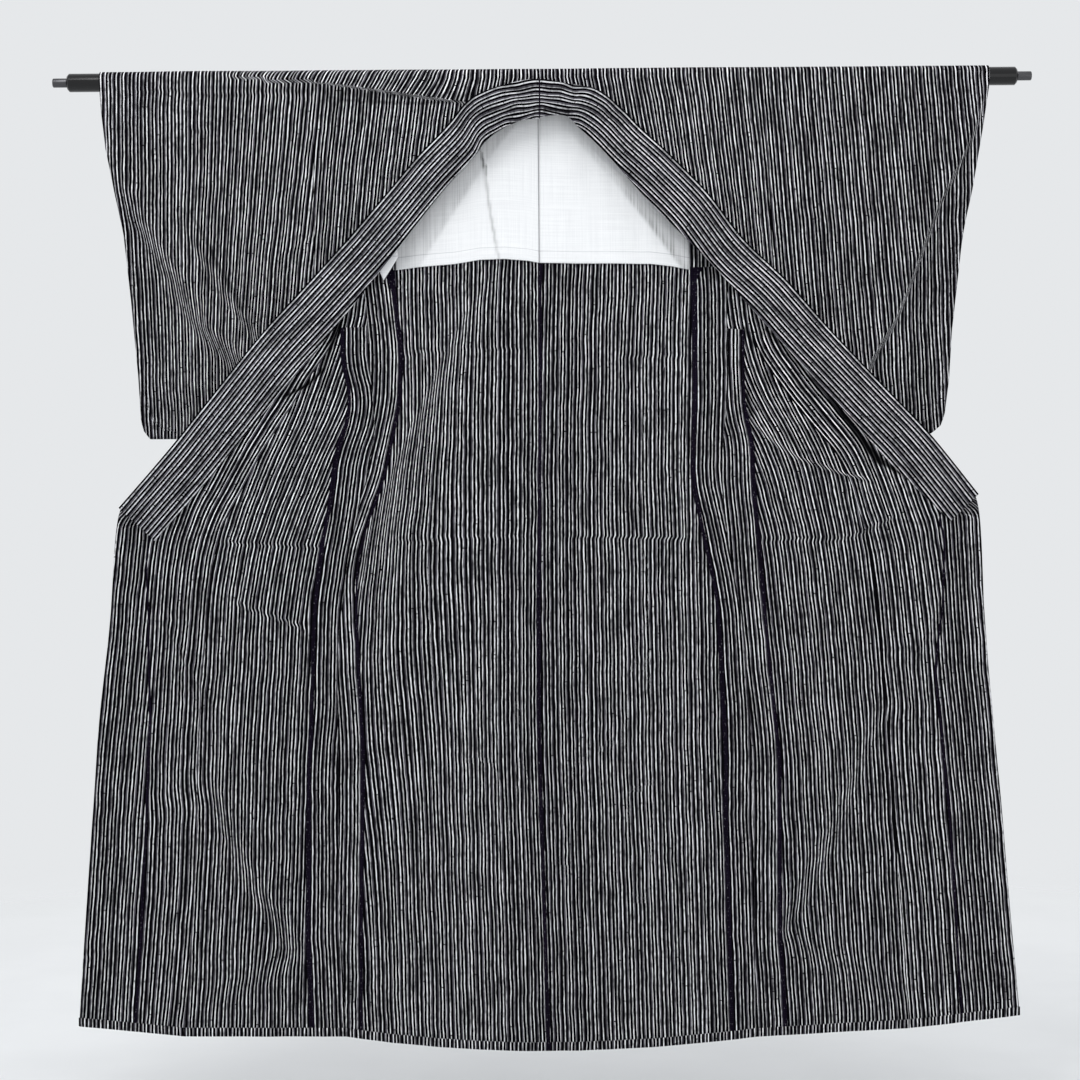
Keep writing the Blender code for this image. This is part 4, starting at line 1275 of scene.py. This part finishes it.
def shaded(m, color, threads=1.0):
    """A colour, darkened where the piece's shade attribute says so."""
    shade = m.tree.nodes.new("ShaderNodeAttribute")
    shade.attribute_name = "shade"
    return m.mix(m.do("MULTIPLY", shade.outputs["Fac"], threads), color, (0.001, 0.001, 0.0015, 1))


def kept(name, make):
    """The material of this name, made on first use."""
    return bpy.data.materials.get(name) or make(name)


def rgba(color):
    return (*color, 1.0)


def striped_finish(name, **values):
    """Striped cotton: stripes, a fine weave and shade in its gaps."""
    sizes = bpy.context.scene.kimono_sizes
    colours = bpy.context.scene.kimono_colours
    material, m, coordinates, thread = cloth_finish(name, 0.85)
    stripes = m.tree.nodes.new("ShaderNodeGroup")
    stripes.node_tree = warp_stripes_group()
    settings = {"Pitch": sizes.stripe_pitch, "Thin Line": sizes.thin_line, "Wide Line": sizes.wide_line,
                "White Share": sizes.white_share, "Ground": rgba(colours.ground), "Grey": rgba(colours.grey),
                "White": rgba(colours.white)}
    settings.update(values)
    for socket, value in settings.items():
        stripes.inputs[socket].default_value = value
    m.tree.links.new(coordinates, stripes.inputs["Cloth"])
    shader = m.tree.nodes["Principled BSDF"]
    color = m.mix(m.do("MULTIPLY", thread, 0.12), stripes.outputs["Color"], (0.0, 0.0, 0.0, 1))
    m.tree.links.new(shaded(m, color), shader.inputs["Base Color"])
    m.tree.links.new(m.step(stripes.outputs["Line"], 0.0, 1.0, 0.8, 0.92), shader.inputs["Roughness"])
    return material


def collar_cotton(name):
    """The collar's stripes: straighter lines with short light and dark runs."""
    return striped_finish(name, **{
        "Pitch": bpy.context.scene.kimono_sizes.collar_pitch, "Waver": 0.3, "Dash": 210.0,
        "Thin Line": 0.16, "Wide Line": 0.29, "White": (0.72, 0.72, 0.75, 1)})


def selvage_cotton(name):
    """Dark purple-black edge with tight ribs and a few light specks."""
    material, m, coordinates, thread = cloth_finish(name, 0.9)
    u, v, _ = m.split(coordinates)
    ribs = m.step(m.do("SINE", m.do("MULTIPLY", v, 2 * math.pi / 0.0032)), -0.6, 0.8, 0.35, 1.0)
    specks = m.step(m.stretched(u, v, 500, 260, 1.0), 0.66, 0.72)
    selvage = rgba(bpy.context.scene.kimono_colours.selvage)
    color = m.mix(m.do("MULTIPLY", ribs, thread), (0.003, 0.0022, 0.005, 1), selvage)
    color = m.mix(m.do("MULTIPLY", specks, 0.5), color, (0.25, 0.24, 0.28, 1))
    m.tree.links.new(color, m.tree.nodes["Principled BSDF"].inputs["Base Color"])
    return material


# Place of the lining's centre seam in its cloth coordinates, in metres
LINING_SEAM_PLACE = 2.5935


def white_lining(name):
    """Thin bleached cotton with faint slubs, a stitched hem band and shade beside the collar."""
    material, m, coordinates, thread = cloth_finish(name, 0.9)
    u, v, _ = m.split(coordinates)
    white = rgba(bpy.context.scene.kimono_colours.lining)
    color = m.mix(m.do("MULTIPLY", thread, 0.35), white, (0.70, 0.71, 0.73, 1))
    from_stitches = m.do("ABSOLUTE", m.do("SUBTRACT", v, LINING_HEM_BAND * MM))
    line = m.do("SUBTRACT", 1.0, m.step(from_stitches, 0.0004, 0.0011))
    color = m.mix(m.do("MULTIPLY", line, 0.45), color, (0.42, 0.42, 0.45, 1))
    from_seam = m.do("ABSOLUTE", m.do("SUBTRACT", u, LINING_SEAM_PLACE))
    seam = m.do("SUBTRACT", 1.0, m.step(from_seam, 0.0003, 0.0012))
    color = m.mix(m.do("MULTIPLY", seam, 0.85), color, (0.25, 0.25, 0.27, 1))
    threads = m.step(m.stretched(u, v, 620.0, 8.0, 2.0), 0.42, 0.62, 0.55, 1.5)
    m.tree.links.new(shaded(m, color, threads), m.tree.nodes["Principled BSDF"].inputs["Base Color"])
    return material


def bar_finish(name, color, dust_color, low, high, metallic, coat):
    """A smooth bar: patches of dust over its colour, and a roughness between two values."""
    material = bpy.data.materials.new(name)
    material.use_nodes = True
    tree = material.node_tree
    shader = tree.nodes["Principled BSDF"]
    m = Maths(tree)
    place = tree.nodes.new("ShaderNodeTexCoord").outputs["Object"]
    x, y, z = m.split(place)
    stretched = m.combine(m.do("MULTIPLY", x, 30), m.do("MULTIPLY", y, 500), m.do("MULTIPLY", z, 500))
    lengthwise = m.cloud(stretched, 1.0, 3.0)
    dust = m.cloud(place, 90.0, 4.0)
    tree.links.new(m.mix(m.step(dust, 0.55, 0.8, 0.0, 0.5), rgba(color), rgba(dust_color)),
                   shader.inputs["Base Color"])
    tree.links.new(m.step(lengthwise, 0.3, 0.7, low, high), shader.inputs["Roughness"])
    bump = tree.nodes.new("ShaderNodeBump")
    bump.inputs["Strength"].default_value = 0.08
    bump.inputs["Distance"].default_value = 0.0004
    tree.links.new(lengthwise, bump.inputs["Height"])
    tree.links.new(bump.outputs["Normal"], shader.inputs["Normal"])
    shader.inputs["Metallic"].default_value = metallic
    shader.inputs["Specular IOR Level"].default_value = 0.22
    shader.inputs["Coat Weight"].default_value = coat
    shader.inputs["Coat Roughness"].default_value = 0.08
    return material


def black_lacquer(name):
    """Black lacquer with a soft gloss."""
    color = bpy.context.scene.kimono_colours.lacquer
    return bar_finish(name, color, (0.008, 0.008, 0.009), 0.12, 0.26, metallic=0.0, coat=0.3)


def pin_steel(name):
    """Dull, worn steel."""
    color = bpy.context.scene.kimono_colours.steel
    return bar_finish(name, color, (0.12, 0.12, 0.12), 0.3, 0.5, metallic=1.0, coat=0.0)


def round_bar(name, radius, start, end, chamfer, finish):
    """A round bar along X: chamfered rims, soft edges and a shallow turned hollow in each end."""
    bpy.ops.object.select_all(action="DESELECT")
    bpy.ops.mesh.primitive_cylinder_add(
        vertices=64, radius=radius * MM, depth=(end - start) * MM,
        location=((start + end) / 2 * MM, 0, 0), rotation=(0, math.pi / 2, 0))
    bar = bpy.context.object
    bar.name = name
    bar.data.name = name
    bpy.ops.object.transform_apply(location=True, rotation=True, scale=True)
    bpy.ops.object.mode_set(mode="EDIT")
    bpy.ops.mesh.select_all(action="DESELECT")
    bpy.ops.mesh.select_mode(type="FACE")
    bpy.ops.object.mode_set(mode="OBJECT")
    for face in bar.data.polygons:
        face.select = abs(face.normal.x) > 0.9
    bpy.ops.object.mode_set(mode="EDIT")
    bpy.ops.mesh.inset(thickness=chamfer * MM, depth=0)
    bpy.ops.mesh.inset(thickness=0.25 * radius * MM, depth=-0.08 * radius * MM)
    bpy.ops.object.mode_set(mode="OBJECT")
    middle = (start + end) / 2 * MM
    for vertex in bar.data.vertices:
        rim = math.hypot(vertex.co.y, vertex.co.z) > (radius - 0.01) * MM
        if rim:
            vertex.co.x -= math.copysign(chamfer * MM, vertex.co.x - middle)
    bevel = bar.modifiers.new("soft_edges", "BEVEL")
    bevel.width = 0.5 * MM
    bevel.segments = 3
    bevel.limit_method = "ANGLE"
    bevel.angle_limit = math.radians(25)
    bpy.ops.object.modifier_apply(modifier="soft_edges")
    bpy.ops.object.shade_smooth_by_angle(angle=math.radians(35))
    bar.data.materials.append(finish)
    return bar


class KimonoSizes(PropertyGroup):
    """Sizes of the cloth and its stripes."""

    cloth_wall: FloatProperty(
        name="Cloth thickness", description="Thickness of one layer of cloth",
        default=CLOTH_WALL * MM, unit="LENGTH")
    hem_turn: FloatProperty(
        name="Hem turn", description="Height of the turned and stitched hem",
        default=0.0125, unit="LENGTH")
    stripe_pitch: FloatProperty(
        name="Stripe pitch", description="Distance from one stripe to the next",
        default=0.0057, unit="LENGTH")
    collar_pitch: FloatProperty(
        name="Collar stripe pitch", description="Distance between the stripes along the collar",
        default=0.0057, unit="LENGTH")
    thin_line: FloatProperty(
        name="Thin stripe", description="Half width of a thin stripe as a share of the pitch",
        default=0.12, subtype="FACTOR")
    wide_line: FloatProperty(
        name="Wide stripe", description="Half width of a wide stripe as a share of the pitch",
        default=0.222, subtype="FACTOR")
    white_share: FloatProperty(
        name="White share", description="Share of the thin stripes that are white",
        default=1.0, subtype="FACTOR")


class KimonoColours(PropertyGroup):
    """Colours of the cloth, the lining and the rod."""

    ground: FloatVectorProperty(
        name="Ground", description="Near-black cotton between the stripes",
        default=(0.0014, 0.0012, 0.0022), subtype="COLOR")
    grey: FloatVectorProperty(
        name="Grey stripe", description="Grey yarn of the wide stripes",
        default=(0.115, 0.11, 0.13), subtype="COLOR")
    white: FloatVectorProperty(
        name="White stripe", description="White yarn of the stripes",
        default=(0.97, 0.97, 1.0), subtype="COLOR")
    selvage: FloatVectorProperty(
        name="Selvage", description="Purple-black woven edge",
        default=(0.012, 0.008, 0.02), subtype="COLOR")
    lining: FloatVectorProperty(
        name="Lining", description="Bleached cotton of the yoke",
        default=(0.92, 0.93, 0.94), subtype="COLOR")
    lacquer: FloatVectorProperty(
        name="Lacquer", description="Black lacquer of the rod",
        default=(0.004, 0.004, 0.0045), subtype="COLOR")
    steel: FloatVectorProperty(
        name="Pin steel", description="Dull steel of the end pins",
        default=(0.09, 0.09, 0.095), subtype="COLOR")


def place_sheet(piece, nodes):
    """Hides the imported parts that a finished sheet stands for, and attaches the sheet to the root body."""
    if nodes:
        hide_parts(*nodes)
    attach(piece, "root")


class KIMONO_OT_body(Operator):
    """Add the back and shoulders, in one length on each side of the centre seam"""

    bl_idname = "kimono.add_body"
    bl_label = "Back and shoulders"

    def execute(self, context):
        sizes = context.scene.kimono_sizes
        finishes = [kept("striped_cloth", striped_finish), kept("selvage_cloth", selvage_cotton)]
        for side in SIDES:
            body = sheet_piece(
                "body_cloth_" + side, side, body_sheet, even(110, 0.0, 0.99) + [1.0], 300, body_cloth,
                finishes, sizes.cloth_wall, sizes.hem_turn / MM, (-1,),
                lambda s, p: gap_shade("back_" + s, p.x, p.z) if p.y < 0 else 0.0, marked_from=84)
            place_sheet(body, ("back_" + side, "front_shoulder_" + side))
        return {"FINISHED"}


class KIMONO_OT_fronts(Operator):
    """Add the two opened fronts"""

    bl_idname = "kimono.add_fronts"
    bl_label = "Fronts"

    def execute(self, context):
        sizes = context.scene.kimono_sizes
        finishes = [kept("striped_cloth", striped_finish)]
        for side in SIDES:
            front = sheet_piece(
                "front_cloth_" + side, side, front_sheet, even(76), 200, front_cloth, finishes,
                sizes.cloth_wall, sizes.hem_turn / MM, shade=lambda s, p: gap_shade("front_" + s, p.x, p.z))
            place_sheet(front, ("front_" + side,))
        return {"FINISHED"}


class KIMONO_OT_overlaps(Operator):
    """Add the overlap panels along the fronts"""

    bl_idname = "kimono.add_overlaps"
    bl_label = "Overlap panels"

    def execute(self, context):
        sizes = context.scene.kimono_sizes
        finishes = [kept("striped_cloth", striped_finish)]
        for side in SIDES:
            okumi = sheet_piece(
                "okumi_cloth_" + side, side, okumi_sheet, even(34), 200, okumi_cloth, finishes,
                sizes.cloth_wall, sizes.hem_turn / MM, shade=lambda s, p: gap_shade("okumi_" + s, p.x, p.z))
            place_sheet(okumi, ("okumi_" + side,))
        return {"FINISHED"}


class KIMONO_OT_sleeves(Operator):
    """Add the two wide sleeves"""

    bl_idname = "kimono.add_sleeves"
    bl_label = "Sleeves"

    def execute(self, context):
        finish = kept("striped_cloth", striped_finish)
        for side in SIDES:
            sleeve = add_sleeve(side, finish, context.scene.kimono_sizes.cloth_wall)
            place_sheet(sleeve, ("sleeve_" + side,))
        return {"FINISHED"}


class KIMONO_OT_collar(Operator):
    """Add the folded collar band in its two halves"""

    bl_idname = "kimono.add_collar"
    bl_label = "Collar"

    def execute(self, context):
        finishes = [kept("collar_cloth", collar_cotton), kept("selvage_cloth", selvage_cotton)]
        for side in SIDES:
            collar = add_collar(side, finishes)
            place_sheet(collar, ("collar_" + side,))
        return {"FINISHED"}


class KIMONO_OT_lining(Operator):
    """Add the white yoke lining"""

    bl_idname = "kimono.add_lining"
    bl_label = "Yoke lining"

    def execute(self, context):
        finishes = [kept("lining_cloth", white_lining)]
        for side in SIDES:
            lining = sheet_piece(
                "lining_cloth_" + side, side, lining_sheet, even(70), 96, plain_cloth, finishes,
                context.scene.kimono_sizes.cloth_wall, shade=lining_shade)
            place_sheet(lining, ("lining_" + side,))
        corner = sheet_piece(
            "lining_corner_left", "left", lining_corner_sheet, even(8), 12, plain_cloth, finishes,
            context.scene.kimono_sizes.cloth_wall)
        place_sheet(corner, ())
        return {"FINISHED"}


class KIMONO_OT_turned_edges(Operator):
    """Add the turned-in edges with their selvages along the seams"""

    bl_idname = "kimono.add_turned_edges"
    bl_label = "Turned-in edges"

    def execute(self, context):
        finishes = [kept("turned_edge_cloth", striped_finish), kept("selvage_cloth", selvage_cotton)]
        for side in SIDES:
            inner = {side: SELVAGE_LINE["back_" + side]}
            outer = {side: SELVAGE_LINE["front_" + side]}
            for name, sheet, rows, selvage, lines, on in (
                    ("back_allowance", back_allowance_sheet, 200, 0.15, inner, "body_cloth_"),
                    ("front_allowance", front_allowance_sheet, 190, 0.14, outer, "front_cloth_"),
                    ("edge_turning", edge_turning_sheet, 130, 0.05, EDGE_LINE, "okumi_cloth_")):
                strip = sheet_piece(
                    name + "_cloth_" + side, side, sheet, even(9, 0.0, 1 - selvage) + [1.0], rows,
                    turned_cloth(lines), finishes, TURNED_WALL * MM, marked_columns=(-1,))
                place_sheet(strip, (name + "_" + side,))
        return {"FINISHED"}


ROD_LENGTH = 1423.0
PIN_LENGTH = 22.0
PIN_RADIUS = 6.75


class KIMONO_OT_rod(Operator):
    """Add the lacquered rod and the steel pins in its ends"""

    bl_idname = "kimono.add_rod"
    bl_label = "Rod"

    def execute(self, context):
        half = ROD_LENGTH / 2
        rod = round_bar("rod_bar", ROD_RADIUS, -half, half, 3.0, kept("rod_lacquer", black_lacquer))
        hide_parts("rod")
        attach(rod, "root")
        start = half + SEAM_GAP
        for side in SIDES:
            ends = sorted((SIGN[side] * start, SIGN[side] * (start + PIN_LENGTH)))
            pin = round_bar("rod_pin_bar_" + side, PIN_RADIUS, *ends, 1.0, kept("pin_metal", pin_steel))
            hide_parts("rod_pin_" + side)
            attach(pin, "root")
        return {"FINISHED"}


def floor_finish():
    """Pale floor that fades out into the pale surroundings."""
    material = bpy.data.materials.new("pale_floor")
    material.use_nodes = True
    tree = material.node_tree
    m = Maths(tree)
    x, y, _ = m.split(tree.nodes.new("ShaderNodeTexCoord").outputs["Object"])
    away = m.do("SQRT", m.do("ADD", m.do("MULTIPLY", x, x), m.do("MULTIPLY", y, y)))
    mottle = m.cloud(m.combine(x, y), 3.0, 3.0)
    shader = tree.nodes["Principled BSDF"]
    color = m.mix(m.step(mottle, 0.3, 0.7), (0.80, 0.81, 0.82, 1), (0.84, 0.85, 0.86, 1))
    tree.links.new(color, shader.inputs["Base Color"])
    shader.inputs["Roughness"].default_value = 0.9
    shader.inputs["Specular IOR Level"].default_value = 0.1
    tree.links.new(m.step(away, 0.9, 3.2, 1.0, 0.0), shader.inputs["Alpha"])
    return material


# The camera's place in metres, its tilt in degrees, the width that it sees at the rod in metres
# and its sensor's width in mm
CAMERA_PLACE = (-0.00825, -3.2, -0.69075)
CAMERA_TILT = -0.43
VIEW_WIDTH = 1.62
SENSOR_WIDTH = 36
FLOOR_HEIGHT = -1.56
SKY = (0.94, 0.96, 0.98, 1)
SKY_STRENGTH = 0.84

# Soft lights: place, size and aim in metres, and power in watts
Lamp = namedtuple("Lamp", "name place size power aim")
LAMPS = table(Lamp,
    ("key", (-0.8, -1.6, 1.5), 1.2, 22, (0, 0, -0.6)),
    ("fill", (1.8, -2.6, -0.2), 1.8, 6, (0, 0, -0.7)),
    ("top", (0.1, -0.5, 1.7), 1.2, 14, (0, 0, -0.5)),
    ("rear", (0, 2.6, 0.8), 2.2, 14, (0, 0, -0.6)))


class KIMONO_OT_stage(Operator):
    """Add the floor, the soft light and the camera"""

    bl_idname = "kimono.add_stage"
    bl_label = "Studio"

    def execute(self, context):
        scene = context.scene
        camera = bpy.data.objects.new("camera", bpy.data.cameras.new("camera"))
        scene.collection.objects.link(camera)
        camera.location = CAMERA_PLACE
        turn = Matrix.Rotation(math.radians(90), 3, "X") @ Matrix.Rotation(math.radians(CAMERA_TILT), 3, "Z")
        camera.rotation_euler = turn.to_euler()
        camera.data.lens = SENSOR_WIDTH * -CAMERA_PLACE[1] / VIEW_WIDTH
        scene.camera = camera
        bpy.ops.object.select_all(action="DESELECT")
        bpy.ops.mesh.primitive_plane_add(size=7, location=(0, 0, FLOOR_HEIGHT))
        floor = bpy.context.object
        floor.name = "studio_floor"
        floor.data.materials.append(floor_finish())
        world = bpy.data.worlds.new("studio")
        scene.world = world
        world.use_nodes = True
        world.node_tree.nodes["Background"].inputs[0].default_value = SKY
        world.node_tree.nodes["Background"].inputs[1].default_value = SKY_STRENGTH
        for lamp in LAMPS:
            light = bpy.data.objects.new(lamp.name, bpy.data.lights.new(lamp.name, "AREA"))
            scene.collection.objects.link(light)
            light.data.size = lamp.size
            light.data.energy = lamp.power
            light.location = lamp.place
            light.rotation_euler = (Vector(lamp.aim) - Vector(lamp.place)).to_track_quat("-Z", "Y").to_euler()
        scene.view_settings.view_transform = "Standard"
        return {"FINISHED"}


OPERATORS = (KIMONO_OT_rod, KIMONO_OT_body, KIMONO_OT_sleeves, KIMONO_OT_fronts, KIMONO_OT_overlaps,
             KIMONO_OT_collar, KIMONO_OT_lining, KIMONO_OT_turned_edges, KIMONO_OT_stage)


class KIMONO_PT_panel(Panel):
    """Lists the kimono's pieces, sizes and colours"""

    bl_idname = "KIMONO_PT_panel"
    bl_label = "Kimono"
    bl_space_type = "VIEW_3D"
    bl_region_type = "UI"
    bl_category = "Kimono"

    def draw(self, context):
        for group in (context.scene.kimono_sizes, context.scene.kimono_colours):
            box = self.layout.box()
            for name in group.__annotations__:
                box.prop(group, name)
        for operator in OPERATORS:
            self.layout.operator(operator.bl_idname)


CLASSES = (KimonoSizes, KimonoColours) + OPERATORS + (KIMONO_PT_panel,)


def register():
    for entry in CLASSES:
        bpy.utils.register_class(entry)
    bpy.types.Scene.kimono_sizes = PointerProperty(type=KimonoSizes)
    bpy.types.Scene.kimono_colours = PointerProperty(type=KimonoColours)


def unregister():
    del bpy.types.Scene.kimono_colours
    del bpy.types.Scene.kimono_sizes
    for entry in reversed(CLASSES):
        bpy.utils.unregister_class(entry)


def main():
    register()
    bpy.ops.kimono.add_rod()
    bpy.ops.kimono.add_body()
    bpy.ops.kimono.add_sleeves()
    bpy.ops.kimono.add_fronts()
    bpy.ops.kimono.add_overlaps()
    bpy.ops.kimono.add_collar()
    bpy.ops.kimono.add_lining()
    bpy.ops.kimono.add_turned_edges()
    bpy.ops.kimono.add_stage()


if __name__ == "__main__":
    main()
